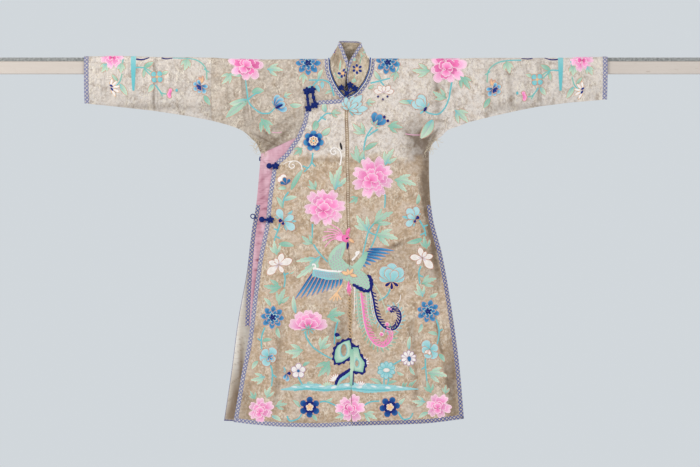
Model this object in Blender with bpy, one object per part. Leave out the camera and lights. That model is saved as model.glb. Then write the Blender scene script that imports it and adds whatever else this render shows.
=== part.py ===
"""A Chinese theatrical jacket of embroidered silk, hung flat on a padded wooden rod.

The rod runs through both sleeves. Its middle is the origin, +Z is up, and the
front of the jacket faces -Y. Left and right are the wearer's. The tables are in
millimetres, and the finished meshes are in metres.
"""
import math

import bmesh
import bpy
import numpy as np

MM = 0.001

# Thickness of each cloth, and the small gaps between pieces
CLOTH = 2.0
RIBBON = 1.0
COLLAR_WALL = 3.0
SEAM = 0.3
LAYER_AIR = 1.2

# The jacket hangs nearly flat: half its depth, and how softly it closes at its edges
HALF_DEPTH = 13.0
FOLD_RISE = 9.0
EDGE_ROUNDING = 75.0
VENT_TOP = -390.0
VENT_GAPE = 8.0
HEM_LEVEL = -1010.0
UNDERARM = -244.7

# Ribbon and cord widths
RIBBON_WIDTH = 10.0
HEM_RIBBON_WIDTH = 12.8
PIPING_BAND = 5.0
PIPING_RADIUS = 2.0

# The rod and the strip of felt on top of it
ROD_HALF_LENGTH = 1030.0
ROD_HALF_HEIGHT = 18.0
ROD_HALF_DEPTH = 8.0
ROD_BEVEL = 1.5
FELT_INSET = 4.0
FELT_FREE_TOP = 29.4

# Where the sleeve extensions are sewn to the body cloth
SLEEVE_SEAM_RIGHT = -386.0
SLEEVE_SEAM_LEFT = 391.5
CUFF_RIGHT = -747.0
CUFF_LEFT = 740.0
NECK_RIGHT = -49.4
NECK_LEFT = 64.5
NECK_BOTTOM = -82.5

# The shoulder fold, seen from the front: x, z
SHOULDER_LINE = (
    (-748, 32.5), (-633, 33.5), (-548, 31.0), (-383, 29.0), (-338, 26.0), (-233, 23.8),
    (-148, 24.6), (-46, 25.0), (64, 26.0), (264, 26.0), (395, 28.5), (599, 28.5), (684, 30.5), (741, 32.0),
)

# Lower edge of the right sleeve down to the underarm, then the side edge of the back: z, x
RIGHT_SLEEVE_EDGE = (
    (-101.2, -747), (-110.6, -656), (-122.8, -548), (-137.3, -452), (-150.4, -386),
    (-164.9, -332), (-176.5, -303), (-186.4, -288), (-202.6, -271), (-217.1, -256.5),
    (-235.9, -249), (-244.7, -245),
)
RIGHT_SIDE_EDGE = (
    (-244.7, -245), (-390, -257), (-490, -274), (-575, -284), (-723, -310.5), (-868, -329.5), (-1006, -350.5),
)
LEFT_SLEEVE_EDGE = (
    (-89.9, 741), (-99.3, 633), (-110.0, 547), (-121.4, 489), (-137.3, 417), (-143.8, 391.5),
    (-155.5, 344.5), (-164.6, 322.5), (-176.8, 288), (-194.1, 270), (-212.0, 247), (-231.9, 236),
    (-244.7, 233.5),
)
LEFT_SIDE_EDGE = (
    (-244.7, 233.5), (-297, 233.5), (-362, 236), (-426, 243.5), (-533, 270.5), (-705, 300), (-862, 320.5),
    (-998.5, 332),
)

# Neck curve on each side, down to the middle of the front: z, x
NECK_RIGHT_CURVE = (
    (25.0, -49.4), (-1.0, -47.7), (-28.8, -40.0), (-53.0, -27.8), (-74.0, -12.5), (-82.5, -2.0),
)
NECK_LEFT_CURVE = (
    (26.0, 64.5), (2.0, 63.0), (-31.7, 52.3), (-55.8, 36.9), (-74.8, 18.5), (-82.5, 0.0),
)

# Bands beside the neck curve, measured level: z, to the end of the piping, to the end of the ribbon
NECK_RIGHT_BANDS = (
    (25.0, 5.0, 15.0), (-28.8, 5.5, 16.0), (-53.0, 6.5, 18.0), (-74.0, 8.5, 22.0), (-82.5, 9.0, 24.0),
)
NECK_LEFT_BANDS = (
    (26.0, 5.0, 15.0), (-31.7, 5.5, 16.5), (-55.8, 7.0, 20.0), (-74.8, 11.0, 26.0),
    (-82.5, 17.0, 34.0), (-87.5, 4.0, 28.0), (-97.5, 4.0, 12.0), (-120.0, 5.0, 15.0),
)

# The overlapping front: its top edge (x, z), then its closing edge (z, x)
OVERLAP_TOP = ((-105.0, -105.5), (-83.0, -95.6), (-34.0, -91.9), (0.0, -88.5))
OVERLAP_EDGE = (
    (-105.5, -105), (-120, -117), (-151.8, -123), (-180.8, -134.5), (-204, -146.5), (-224, -160.5),
    (-244.7, -175), (-263, -195.5), (-282, -210), (-303, -213), (-368, -223), (-442, -230.5),
    (-543, -250), (-668, -267), (-772, -279.5), (-876, -300), (-939, -310.5), (-1007, -322),
)

# The pink underlap: its vent edge (z, x) and its square lower end
UNDERLAP_EDGE = ((-244.7, -245), (-390, -258.5), (-467, -271), (-575, -281), (-735, -289))
UNDERLAP_HEM = -735.0
UNDERLAP_INNER = -34.0
UNDERLAP_SEAM_RISE = 0.45

# Lower edges: x, z
FRONT_HEM = (
    (-322, -1007), (-267, -1013.5), (-173, -1020.5), (-78, -1022), (9, -1018), (207, -1012), (332, -998.5),
)
BACK_HEM = ((-350.5, -1006), (-250, -1010), (0, -1013), (200, -1008), (332, -998.5))

# Straight seam down the middle of the front: z, x
CENTRE_SEAM = ((-82.5, -2.0), (-1025.0, 14.0))

# Large creases of the front: both ends in x and z, half width, and how far they stand out
FRONT_CREASES = (
    (-292, 0, -290, -150, 11, 3.0),
    (-272, -5, -276, -120, 9, -1.6),
    (-548, 10, -552, -100, 12, 2.0),
    (541, 10, 545, -95, 11, 2.6),
    (455, 5, 470, -105, 18, 1.6),
    (250, -10, 262, -150, 16, 2.2),
    (-230, -235, -150, -160, 12, 2.0),
    (215, -225, 130, -150, 13, 2.2),
    (-120, -262, 150, -268, 16, 1.4),
    (60, -530, 185, -490, 20, 2.6),
    (-150, -545, 60, -552, 18, 1.4),
    (215, -300, 262, -620, 20, 2.2),
    (-190, -700, -205, -960, 24, 2.4),
    (180, -720, 200, -960, 26, 2.0),
)
BACK_CREASES = (
    (290, 0, 288, -150, 12, 3.0),
    (-545, 10, -548, -100, 12, 2.2),
    (540, 10, 545, -95, 12, 2.2),
    (-290, -5, -285, -140, 12, 2.4),
    (-215, -230, -120, -150, 13, 2.0),
    (205, -225, 120, -150, 13, 2.0),
    (-100, -560, 150, -545, 20, 1.6),
    (-130, -720, -150, -960, 26, 2.2),
    (120, -700, 150, -960, 26, 2.2),
)

# Collar, from its right front end round the back: foot, middle and top of each section
COLLAR_SECTIONS = (
    (-5.0, -12.0, -77.5, -5.5, -15.0, -54.0, -4.5, -17.0, -30.0),
    (-11.0, -12.0, -72.5, -6.5, -16.0, -40.0, 0.5, -17.5, -8.0),
    (-25.5, -12.0, -51.5, -12.5, -16.0, -22.0, 4.0, -17.0, 15.0),
    (-37.5, -12.0, -28.0, -22.0, -15.0, 2.0, -3.0, -14.0, 34.0),
    (-45.3, -12.0, -2.0, -31.0, -13.0, 26.0, -10.5, -10.0, 54.0),
    (-47.0, -12.3, 13.0, -35.5, -9.5, 38.0, -16.5, -6.0, 67.0),
    (-47.0, -8.2, 24.5, -34.5, -5.0, 44.5, -20.5, -2.5, 72.5),
    (-46.5, 0.5, 28.0, -32.0, 1.0, 47.5, -21.0, 1.5, 75.5),
    (-46.0, 7.5, 25.0, -28.0, 6.5, 49.0, -17.0, 6.0, 77.0),
    (-38.0, 12.0, 18.5, -20.0, 10.0, 48.5, -8.0, 8.5, 77.5),
    (7.5, 12.0, 18.5, 7.5, 12.0, 48.0, 8.0, 10.0, 77.0),
    (53.0, 12.0, 18.5, 38.0, 10.0, 47.5, 25.0, 8.5, 76.5),
    (61.0, 7.5, 26.0, 46.0, 6.0, 48.0, 33.5, 5.5, 75.0),
    (61.8, 0.5, 29.0, 49.0, 0.0, 46.5, 38.5, 1.0, 71.5),
    (62.0, -7.0, 25.5, 50.0, -6.0, 43.0, 38.5, -3.5, 68.0),
    (62.0, -13.0, 13.0, 48.0, -11.5, 36.0, 32.0, -8.5, 60.0),
    (60.5, -14.5, -1.0, 42.0, -15.5, 24.0, 23.0, -14.0, 44.0),
    (50.0, -15.0, -31.0, 31.0, -18.5, 1.0, 12.5, -19.0, 28.0),
    (34.5, -15.2, -54.5, 19.5, -20.0, -22.0, 5.5, -21.5, 12.0),
    (16.0, -15.2, -73.0, 8.0, -19.5, -42.0, 1.5, -21.5, -12.0),
    (5.5, -15.2, -77.5, 2.5, -18.5, -54.0, -1.0, -21.0, -32.0),
)
COLLAR_HEIGHTS = (0.0, 0.27, 0.53, 0.8, 1.0)

# Knotted fastenings. A knot: x, z, radius, distance of its back from the middle plane
KNOT_HEIGHT = 5.0
CORD_RADIUS = 2.2
KNOT_SIDES = 20
KNOT_LOBES = 5


def smooth(table, at):
    """Reads a two-column table at one value, on a curve through its points."""
    rows = sorted(table)
    xs = [row[0] for row in rows]
    ys = [row[1] for row in rows]
    if at <= xs[0]:
        return ys[0]
    if at >= xs[-1]:
        return ys[-1]
    i = max(k for k in range(len(xs) - 1) if xs[k] <= at)
    slopes = [(ys[k + 1] - ys[k]) / (xs[k + 1] - xs[k]) for k in range(len(xs) - 1)]

    def tangent(k):
        if k == 0:
            return slopes[0]
        if k == len(slopes):
            return slopes[-1]
        if slopes[k - 1] * slopes[k] <= 0:
            return 0.0
        return 2 * slopes[k - 1] * slopes[k] / (slopes[k - 1] + slopes[k])

    step = xs[i + 1] - xs[i]
    t = (at - xs[i]) / step
    start = ys[i] * (1 + 2 * t) + tangent(i) * step * t
    end = ys[i + 1] * (3 - 2 * t) + tangent(i + 1) * step * (t - 1)
    return start * (1 - t) ** 2 + end * t**2


def straight(table, at):
    """Reads a two-column table at one value, on straight lines."""
    rows = sorted(table)
    return float(np.interp(at, [row[0] for row in rows], [row[1] for row in rows]))


def distance_to_line(x, z, ends):
    """Distance from a point to a straight piece between two points."""
    ax, az, bx, bz = ends
    dx, dz = bx - ax, bz - az
    share = ((x - ax) * dx + (z - az) * dz) / (dx * dx + dz * dz)
    share = min(1.0, max(0.0, share))
    return math.hypot(x - ax - share * dx, z - az - share * dz)


def edge_lines(*tables):
    """The straight pieces of edges that are given as z, x tables."""
    lines = []
    for table in tables:
        for (z0, x0), (z1, x1) in zip(table, table[1:]):
            lines.append((x0, z0, x1, z1))
    return lines


OUTLINE = edge_lines(RIGHT_SLEEVE_EDGE, RIGHT_SIDE_EDGE, LEFT_SLEEVE_EDGE, LEFT_SIDE_EDGE)


def half_depth(x, z):
    """Distance from the middle plane to the outside of the cloth: thin at the seams, full inside."""
    near = min(distance_to_line(x, z, line) for line in OUTLINE)
    gape = min(1.0, max(0.0, (VENT_TOP - z) / (VENT_TOP - HEM_LEVEL)))
    at_edge = SEAM / 2 + CLOTH + VENT_GAPE * gape
    fullness = math.sin(math.pi / 2 * min(near / EDGE_ROUNDING, 1.0))
    return at_edge + (HALF_DEPTH - at_edge) * fullness


def crease_height(creases, x, z):
    """How far the creases move the cloth at a point. They die away towards the seams."""
    near = min(distance_to_line(x, z, line) for line in OUTLINE)
    fade = min(near / EDGE_ROUNDING, 1.0)
    total = 0.0
    for x0, z0, x1, z1, half_width, height in creases:
        away = distance_to_line(x, z, (x0, z0, x1, z1))
        total += height * math.exp(-((away / half_width) ** 2))
    return total * fade


def centre_lift(x):
    """The left front rises near the middle, where it joins the overlap."""
    share = min(1.0, max(0.0, (x - 20.0) / 150.0))
    return (CLOTH + LAYER_AIR) * (1 - share * share * (3 - 2 * share))


def shoulder(x):
    """Height of the shoulder fold."""
    return smooth(SHOULDER_LINE, x)


def below_fold(x):
    """Height at which the rounded fold ends and the cloth hangs straight."""
    return shoulder(x) - FOLD_RISE


def mix(low, high, share):
    """A row between two curves, each a function of x."""
    return lambda x: low(x) + (high(x) - low(x)) * share


def meet(edge, row, start):
    """Where a row reaches an edge that is given as x for each z."""
    x = start
    for _ in range(12):
        x = edge(row(x))
    return x


def fixed(*bands):
    """Bands of the same width in every row."""
    return lambda z: bands


def neck_bands(table):
    """The piping's band and the ribbon's band beyond it, for each height."""
    return lambda z: (straight([row[:2] for row in table], z), straight([row[::2] for row in table], z))


def banded(steps, first_bands=fixed(), last_bands=fixed()):
    """Places across a row: bands at each side, and even steps between them."""

    def places(width, z):
        start = [0.0, *first_bands(z)]
        end = [width - band for band in reversed(last_bands(z))] + [width]
        middle = [start[-1] + (end[0] - start[-1]) * k / steps for k in range(1, steps)]
        return start + middle + end

    return places


def shared_out(parts):
    """Places across a row: a ribbon's width at both sides, and given shares of the row between."""
    return lambda width, z: [
        0.0, RIBBON_WIDTH, *(share * width for share in parts), width - RIBBON_WIDTH, width,
    ]


class Cloth:
    """A grid of points on the outside of a panel, with the way out at each point."""

    def __init__(self, side, rows, edges, places, lift=None, creases=(), fold=False):
        self.points = []
        self.ways = []
        left_edge, right_edge = edges
        for row in rows:
            x0 = meet(left_edge, row, left_edge(row(0.0)))
            x1 = meet(right_edge, row, right_edge(row(0.0)))
            line = []
            for place in places(x1 - x0, row(x0)):
                x = x0 + place
                z = row(x)
                depth = half_depth(x, z) + crease_height(creases, x, z)
                if lift:
                    depth += lift(x)
                line.append((x, side * depth, z))
            self.points.append(line)
            self.ways.append([(0.0, float(side), 0.0)] * len(line))
        if fold:
            self.add_fold(side)
        self.points = np.array(self.points)
        self.ways = np.array(self.ways)

    def add_fold(self, side):
        """Rounds the cloth over the rod, in three steps up to the shoulder line."""
        first = self.points[0]
        for degrees in (30, 60, 90):
            angle = math.radians(degrees)
            line = []
            for x, y, z in first:
                depth = max(abs(y) * math.cos(angle), SEAM / 2)
                line.append((x, side * depth, z + FOLD_RISE * math.sin(angle)))
            self.points.insert(0, line)
            way = (0.0, side * math.cos(angle), math.sin(angle))
            self.ways.insert(0, [way] * len(line))

    def moved(self, out):
        """All points, moved out by a distance."""
        return self.points + self.ways * out

    def all_cells(self):
        """Every square of the grid."""
        rows, columns = self.points.shape[:2]
        return np.ones((rows - 1, columns - 1), dtype=bool)

    def no_cells(self):
        """No square of the grid, to add some to."""
        return ~self.all_cells()

    def row_near(self, z, column=0):
        """The row that lies nearest to a height, below the fold."""
        return int(np.argmin(abs(self.points[:, column, 2] - z)))


def wall(name, outer, inner, cells, colour, closed=False):
    """A closed wall between two grids of points, over the given squares."""
    bm = bmesh.new()
    made = {}
    rows, columns = outer.shape[:2]

    def corner(layer, r, c):
        key = (layer, r, c % columns if closed else c)
        if key not in made:
            source = (outer, inner)[layer]
            made[key] = bm.verts.new([value * MM for value in source[key[1], key[2]]])
        return made[key]

    across = cells.shape[1]

    def inside(r, c):
        if closed:
            c %= across
        return 0 <= r < cells.shape[0] and 0 <= c < across and bool(cells[r, c])

    for r in range(cells.shape[0]):
        for c in range(across):
            if not cells[r, c]:
                continue
            square = ((r, c), (r + 1, c), (r + 1, c + 1), (r, c + 1))
            for layer in (0, 1):
                a, b, d, e = (corner(layer, *place) for place in square)
                bm.faces.new((a, b, d) if layer == 0 else (a, d, b))
                bm.faces.new((a, d, e) if layer == 0 else (a, e, d))
            beyond = ((r, c - 1), (r + 1, c), (r, c + 1), (r - 1, c))
            for k, neighbour in enumerate(beyond):
                if inside(*neighbour):
                    continue
                start, end = square[k], square[(k + 1) % 4]
                a, b = corner(0, *start), corner(0, *end)
                d, e = corner(1, *end), corner(1, *start)
                bm.faces.new((a, e, d))
                bm.faces.new((a, d, b))
    return finish(name, bm, colour)


def finish(name, bm, colour):
    """Turns a bmesh into a named object with its own material."""
    bmesh.ops.recalc_face_normals(bm, faces=bm.faces)
    mesh = bpy.data.meshes.new(name)
    bm.to_mesh(mesh)
    bm.free()
    made = bpy.data.objects.new(name, mesh)
    bpy.context.collection.objects.link(made)
    material = bpy.data.materials.get(colour[0]) or bpy.data.materials.new(colour[0])
    material.use_nodes = True
    shader = material.node_tree.nodes["Principled BSDF"]
    shader.inputs["Base Color"].default_value = (*colour[1], 1.0)
    shader.inputs["Roughness"].default_value = colour[2]
    shader.inputs["Metallic"].default_value = colour[3]
    mesh.materials.append(material)
    return made


def panel(name, cloth, colour, cells=None):
    """A wall of cloth whose outside is the grid."""
    chosen = cloth.all_cells() if cells is None else cells
    return wall(name, cloth.moved(0.0), cloth.moved(-CLOTH), chosen, colour)


def laid_on(name, cloth, cells, colour, thickness=RIBBON):
    """A flat strip that lies on a panel, made from the panel's own points."""
    return wall(name, cloth.moved(SEAM + thickness), cloth.moved(SEAM), cells, colour)


# Colours: name, base colour, roughness, metallic
GOLD_CLOTH = ("gold_couched_silk", (0.52, 0.41, 0.28), 0.55, 0.3)
PALE_CLOTH = ("pale_sleeve_silk", (0.66, 0.60, 0.50), 0.55, 0.25)
PINK_SILK = ("pink_silk", (0.66, 0.34, 0.40), 0.45, 0.0)
CREAM_LINING = ("cream_lining", (0.76, 0.70, 0.58), 0.7, 0.0)
BLUE_RIBBON = ("blue_ribbon", (0.30, 0.31, 0.46), 0.6, 0.0)
NAVY_CORD = ("navy_cord", (0.01, 0.02, 0.10), 0.6, 0.0)
PALE_WOOD = ("painted_wood", (0.76, 0.68, 0.62), 0.5, 0.0)
GREY_FELT = ("grey_felt", (0.55, 0.54, 0.52), 0.9, 0.0)


def make_rod():
    """The squared wooden rod, with slightly eased edges."""
    bm = bmesh.new()
    bmesh.ops.create_cube(bm, size=2.0)
    size = (ROD_HALF_LENGTH * MM, ROD_HALF_DEPTH * MM, ROD_HALF_HEIGHT * MM)
    bmesh.ops.scale(bm, vec=size, verts=bm.verts)
    long_edges = [e for e in bm.edges if abs(e.verts[0].co.x - e.verts[1].co.x) > 1.0]
    bmesh.ops.bevel(bm, geom=long_edges, offset=ROD_BEVEL * MM, segments=1, affect="EDGES")
    bmesh.ops.triangulate(bm, faces=bm.faces)
    return finish("rod", bm, PALE_WOOD)


def felt_top(x):
    """Top of the felt: free outside the cuffs, pressed down by the cloth between them."""
    pressed = shoulder(x) - CLOTH - SEAM
    if CUFF_RIGHT < x < CUFF_LEFT:
        return min(pressed, FELT_FREE_TOP)
    return FELT_FREE_TOP


def make_felt():
    """A strip of felt along the top of the rod."""
    end = ROD_HALF_LENGTH - FELT_INSET
    inside = np.linspace(CUFF_RIGHT + 1.0, CUFF_LEFT - 1.0, 31)
    places = [-end, CUFF_RIGHT - 12.0, *inside, CUFF_LEFT + 12.0, end]
    foot = ROD_HALF_HEIGHT + SEAM
    half = ROD_HALF_DEPTH - 0.4
    rings = []
    for x in places:
        top = felt_top(x)
        profile = (
            (-half, foot), (-half, top - 2.4), (-half * 0.6, top - 0.9), (0.0, top),
            (half * 0.6, top - 0.9), (half, top - 2.4), (half, foot),
        )
        rings.append([(x, y, z) for y, z in profile])
    bm = bmesh.new()
    verts = [[bm.verts.new([v * MM for v in point]) for point in ring] for ring in rings]
    count = len(verts[0])
    for first, second in zip(verts, verts[1:]):
        for k in range(count):
            n = (k + 1) % count
            bm.faces.new((first[k], first[n], second[n]))
            bm.faces.new((first[k], second[n], second[k]))
    for ring in (verts[0], verts[-1]):
        for k in range(1, count - 1):
            bm.faces.new((ring[0], ring[k], ring[k + 1]))
    return finish("rod_felt", bm, GREY_FELT)


def rows_at(top, bottom, shares):
    """Rows between two curves, at the given shares of the way down."""
    return [mix(top, bottom, share) for share in shares]


def share_of(top, bottom, x, z):
    """How far down between two curves a point lies."""
    return (top(x) - z) / (top(x) - bottom(x))


def even(start, end, count):
    """Even steps between two values, without the first."""
    return [start + (end - start) * (k + 1) / count for k in range(count)]


def underarm_level(x):
    """The level that parts the sleeves from the body."""
    return UNDERARM


def front_hem(x):
    return smooth(FRONT_HEM, x)


def back_hem(x):
    return smooth(BACK_HEM, x)


def hem_shares(top, hem, count, x):
    """Rows from the underarm to the hem, with a vent row and a ribbon's width at the end."""
    vent = share_of(top, hem, x, VENT_TOP)
    ribbon = share_of(top, hem, x, hem(x) + HEM_RIBBON_WIDTH)
    return [vent / 2, vent, *even(vent, ribbon, count), 1.0]


def edge_of(*tables):
    """An edge as x for each z, from tables that follow each other downwards."""
    joined = []
    for table in tables:
        joined.extend(row for row in table if row not in joined)
    return lambda z: smooth(joined, z)


def sleeve_then_side(seam, sleeve, side, inset):
    """The edge of a body panel: the sleeve seam, then under the arm, then down the side."""
    lower = [row for row in sleeve if abs(row[1]) < abs(seam)]
    corner = straight([(row[1], row[0]) for row in sleeve], seam)
    under_arm = edge_of([(corner, seam), *lower], side)

    def edge(z):
        if z >= corner:
            return seam + inset
        x = under_arm(z)
        limit = seam + inset
        return max(x, limit) if inset > 0 else min(x, limit)

    return edge


RIGHT_EDGE = sleeve_then_side(SLEEVE_SEAM_RIGHT, RIGHT_SLEEVE_EDGE, RIGHT_SIDE_EDGE, SEAM / 2)
LEFT_EDGE = sleeve_then_side(SLEEVE_SEAM_LEFT, LEFT_SLEEVE_EDGE, LEFT_SIDE_EDGE, -SEAM / 2)


def centre_edge(neck_curve, offset):
    """The neck curve, then the straight seam down the front."""

    def edge(z):
        if z > NECK_BOTTOM:
            return smooth(neck_curve, z)
        return straight(CENTRE_SEAM, z) + offset

    return edge


def make_left_front():
    """The left front, from the middle seam to the sleeve seam and down to the hem."""
    corner = share_of(below_fold, underarm_level, SLEEVE_SEAM_LEFT, -143.8)
    neck = share_of(below_fold, underarm_level, 0.0, NECK_BOTTOM)
    piping = share_of(below_fold, underarm_level, 0.0, NECK_BOTTOM - PIPING_BAND)
    ribbon = share_of(below_fold, underarm_level, 0.0, NECK_BOTTOM - PIPING_BAND - RIBBON_WIDTH)
    shares = [0.0, 0.1, 0.19, 0.27, 0.33, neck, piping, ribbon, 0.52, corner, 0.68, 0.76, 0.84, 0.92, 1.0]
    rows = rows_at(below_fold, underarm_level, shares)
    rows += rows_at(underarm_level, front_hem, hem_shares(underarm_level, front_hem, 9, 200.0))
    cloth = Cloth(
        -1, rows, (centre_edge(NECK_LEFT_CURVE, SEAM / 2), LEFT_EDGE),
        banded(7, neck_bands(NECK_LEFT_BANDS), fixed(RIBBON_WIDTH)),
        centre_lift, FRONT_CREASES, fold=True,
    )
    panel("front_left", cloth, GOLD_CLOTH)
    trim = cloth.no_cells()
    trim[cloth.row_near(VENT_TOP, -1):, -1] = True
    trim[-1, :] = True
    laid_on("trim_front_left", cloth, trim, BLUE_RIBBON)
    neck_row = cloth.row_near(NECK_BOTTOM)
    ring = cloth.no_cells()
    ring[: neck_row + 2, 1] = True
    ring[neck_row + 1, :2] = True
    laid_on("neck_trim_left", cloth, ring, BLUE_RIBBON)
    out = cloth.moved(SEAM + PIPING_RADIUS)
    lowest = (out[neck_row, 0] + out[neck_row + 1, 0]) / 2
    return [*neck_path(cloth, 0, 1, neck_row), lowest]


def neck_path(cloth, edge, inner, last_row):
    """Middle of the piping's band, from the shoulder down to the neck's lowest point."""
    out = cloth.moved(SEAM + PIPING_RADIUS)
    return [(out[r, edge] + out[r, inner]) / 2 for r in range(last_row + 1)]


def overlap_top(x):
    return smooth(OVERLAP_TOP, x)


def make_overlap():
    """The large overlapping front, from its closing edge to the middle seam."""
    turn = -303.0

    def level(x):
        return turn

    band = RIBBON_WIDTH / (overlap_top(-60.0) - turn)
    rows = rows_at(overlap_top, level, [0.0, band, *even(band, 1.0, 9)])
    ribbon = share_of(level, front_hem, -100.0, front_hem(-100.0) + HEM_RIBBON_WIDTH)
    rows += rows_at(level, front_hem, [*even(0.0, ribbon, 10), 1.0])
    edges = (edge_of(OVERLAP_EDGE), lambda z: straight(CENTRE_SEAM, z) - SEAM / 2)
    cloth = Cloth(
        -1, rows, edges, banded(8, fixed(RIBBON_WIDTH)), lambda x: CLOTH + LAYER_AIR, FRONT_CREASES,
    )
    panel("front_overlap", cloth, GOLD_CLOTH)
    trim = cloth.no_cells()
    trim[:, 0] = True
    trim[0, :] = True
    trim[-1, :] = True
    laid_on("trim_overlap", cloth, trim, BLUE_RIBBON)


def underlap_seam(x):
    """The slanting seam between the upper right front and the pink underlap."""
    return UNDERARM + UNDERLAP_SEAM_RISE * max(0.0, x + 245.0)


def make_right_front():
    """The upper right front, with the sleeve's root, down to the pink underlap."""
    corner = share_of(below_fold, underlap_seam, SLEEVE_SEAM_RIGHT, -150.4)
    neck = share_of(below_fold, underlap_seam, -2.0, NECK_BOTTOM)
    shares = [0.0, 0.16, 0.3, 0.42, corner * 0.82, corner, neck * 1.08, 0.82, 0.92, 1.0]
    rows = rows_at(below_fold, underlap_seam, sorted(shares))
    cloth = Cloth(
        -1, rows, (RIGHT_EDGE, centre_edge(NECK_RIGHT_CURVE, -SEAM / 2)),
        banded(9, last_bands=neck_bands(NECK_RIGHT_BANDS)), fold=True,
    )
    panel("front_right", cloth, GOLD_CLOTH)
    neck_row = cloth.row_near(NECK_BOTTOM, -1)
    ring = cloth.no_cells()
    ring[: neck_row, -2] = True
    laid_on("neck_trim_right", cloth, ring, BLUE_RIBBON)
    return neck_path(cloth, -1, -2, neck_row)


def make_underlap():
    """The pink underlap below the slanting seam, shorter than the outer front."""

    def top(x):
        return underlap_seam(x) - SEAM

    def bottom(x):
        return UNDERLAP_HEM

    vent = share_of(top, bottom, -258.5, VENT_TOP)
    rows = rows_at(top, bottom, [0.0, vent * 0.33, vent * 0.66, vent, *even(vent, 1.0, 7)])
    edges = (edge_of(UNDERLAP_EDGE), lambda z: UNDERLAP_INNER)
    cloth = Cloth(-1, rows, edges, banded(6, fixed(RIBBON_WIDTH)))
    panel("underlap", cloth, PINK_SILK)
    trim = cloth.no_cells()
    trim[cloth.row_near(VENT_TOP):, 0] = True
    laid_on("trim_underlap", cloth, trim, BLUE_RIBBON)


def make_back():
    """The back, in one width, with its neck notch, ribbon and the lining that shows at the vent."""
    corner = share_of(below_fold, underarm_level, SLEEVE_SEAM_RIGHT, -150.4)
    band = PIPING_BAND / (below_fold(0) - UNDERARM)
    ribbon = (PIPING_BAND + RIBBON_WIDTH) / (below_fold(0) - UNDERARM)
    shares = [0.0, band, ribbon, 0.25, 0.42, corner, 0.72, 0.82, 0.91, 1.0]
    rows = rows_at(below_fold, underarm_level, shares)
    rows += rows_at(underarm_level, back_hem, hem_shares(underarm_level, back_hem, 9, 0.0))
    width = LEFT_EDGE(0.0) - RIGHT_EDGE(0.0)
    wanted = [
        -300.0, -215.0, -135.0,
        NECK_RIGHT - PIPING_BAND - RIBBON_WIDTH, NECK_RIGHT - PIPING_BAND, NECK_RIGHT,
        NECK_LEFT, NECK_LEFT + PIPING_BAND, NECK_LEFT + PIPING_BAND + RIBBON_WIDTH,
        145.0, 225.0, 305.0,
    ]
    parts = [(x - RIGHT_EDGE(0.0)) / width for x in wanted]
    cloth = Cloth(1, rows, (RIGHT_EDGE, LEFT_EDGE), shared_out(parts), None, BACK_CREASES, fold=True)
    fold_rows = 3
    right_neck = 2 + wanted.index(NECK_RIGHT)
    left_neck = 2 + wanted.index(NECK_LEFT)
    cells = cloth.all_cells()
    cells[:fold_rows, right_neck:left_neck] = False
    panel("back", cloth, GOLD_CLOTH, cells)
    vent_row = cloth.row_near(VENT_TOP, -1)
    trim = cloth.no_cells()
    trim[vent_row:, 0] = True
    trim[vent_row:, -1] = True
    trim[-1, :] = True
    laid_on("trim_back", cloth, trim, BLUE_RIBBON)
    ring = cloth.no_cells()
    ring[: fold_rows + 1, right_neck - 2] = True
    ring[: fold_rows + 1, left_neck + 1] = True
    ring[fold_rows + 1, right_neck - 2:left_neck + 2] = True
    laid_on("neck_trim_back", cloth, ring, BLUE_RIBBON)
    lining = cloth.no_cells()
    lining[cloth.row_near(-575.0):, :3] = True
    inside = cloth.moved(-CLOTH - SEAM)
    further = cloth.moved(-CLOTH - SEAM - RIBBON)
    wall("vent_lining", inside, further, lining, CREAM_LINING)
    out = cloth.moved(SEAM + PIPING_RADIUS)
    band_row = (out[fold_rows] + out[fold_rows + 1]) / 2
    down_right = [(out[r, right_neck] + out[r, right_neck - 1]) / 2 for r in range(fold_rows + 1)]
    across = [
        (band_row[right_neck] + band_row[right_neck - 1]) / 2,
        (band_row[left_neck] + band_row[left_neck + 1]) / 2,
    ]
    up_left = [(out[r, left_neck] + out[r, left_neck + 1]) / 2 for r in reversed(range(fold_rows + 1))]
    return down_right + across + up_left


def make_sleeve(side_name, seam, cuff, lower_table, nearer):
    """The outer part of a sleeve, as a front and a back piece, with a ribbon round the cuff."""

    def lower(x):
        return straight([(row[1], row[0]) for row in lower_table], x)

    grids = {}
    for face, side in (("front", -1), ("back", 1)):
        low, high = sorted((seam + nearer * SEAM / 2, cuff))
        edges = (lambda z, x=low: x, lambda z, x=high: x)
        rows = rows_at(below_fold, lower, [0.0, 0.2, 0.4, 0.58, 0.74, 0.88, 1.0])
        cuff_band = fixed(HEM_RIBBON_WIDTH)
        places = banded(9, cuff_band) if cuff < seam else banded(9, last_bands=cuff_band)
        creases = FRONT_CREASES if side < 0 else BACK_CREASES
        cloth = Cloth(side, rows, edges, places, None, creases, fold=True)
        panel(f"sleeve_{side_name}_{face}", cloth, PALE_CLOTH)
        grids[face] = cloth
    column = (0, 1) if cuff < seam else (-2, -1)
    make_cuff_ribbon(f"cuff_{side_name}", grids, column)


def make_cuff_ribbon(name, grids, columns):
    """A ribbon round the cuff, in one ring over the front and the back."""
    rings = []
    for out in (SEAM + RIBBON, SEAM):
        pair = []
        for column in columns:
            front = grids["front"].moved(out)[:, column].copy()
            back = grids["back"].moved(out)[:, column].copy()
            front[-1, 2] -= out
            back[-1, 2] -= out
            ring = np.concatenate([front[1:], back[::-1][:-1], (front[:1] + back[:1]) / 2])
            pair.append(ring)
        rings.append(np.array(pair))
    cells = np.ones((1, rings[0].shape[1]), dtype=bool)
    wall(name, rings[0], rings[1], cells, BLUE_RIBBON, closed=True)


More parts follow.
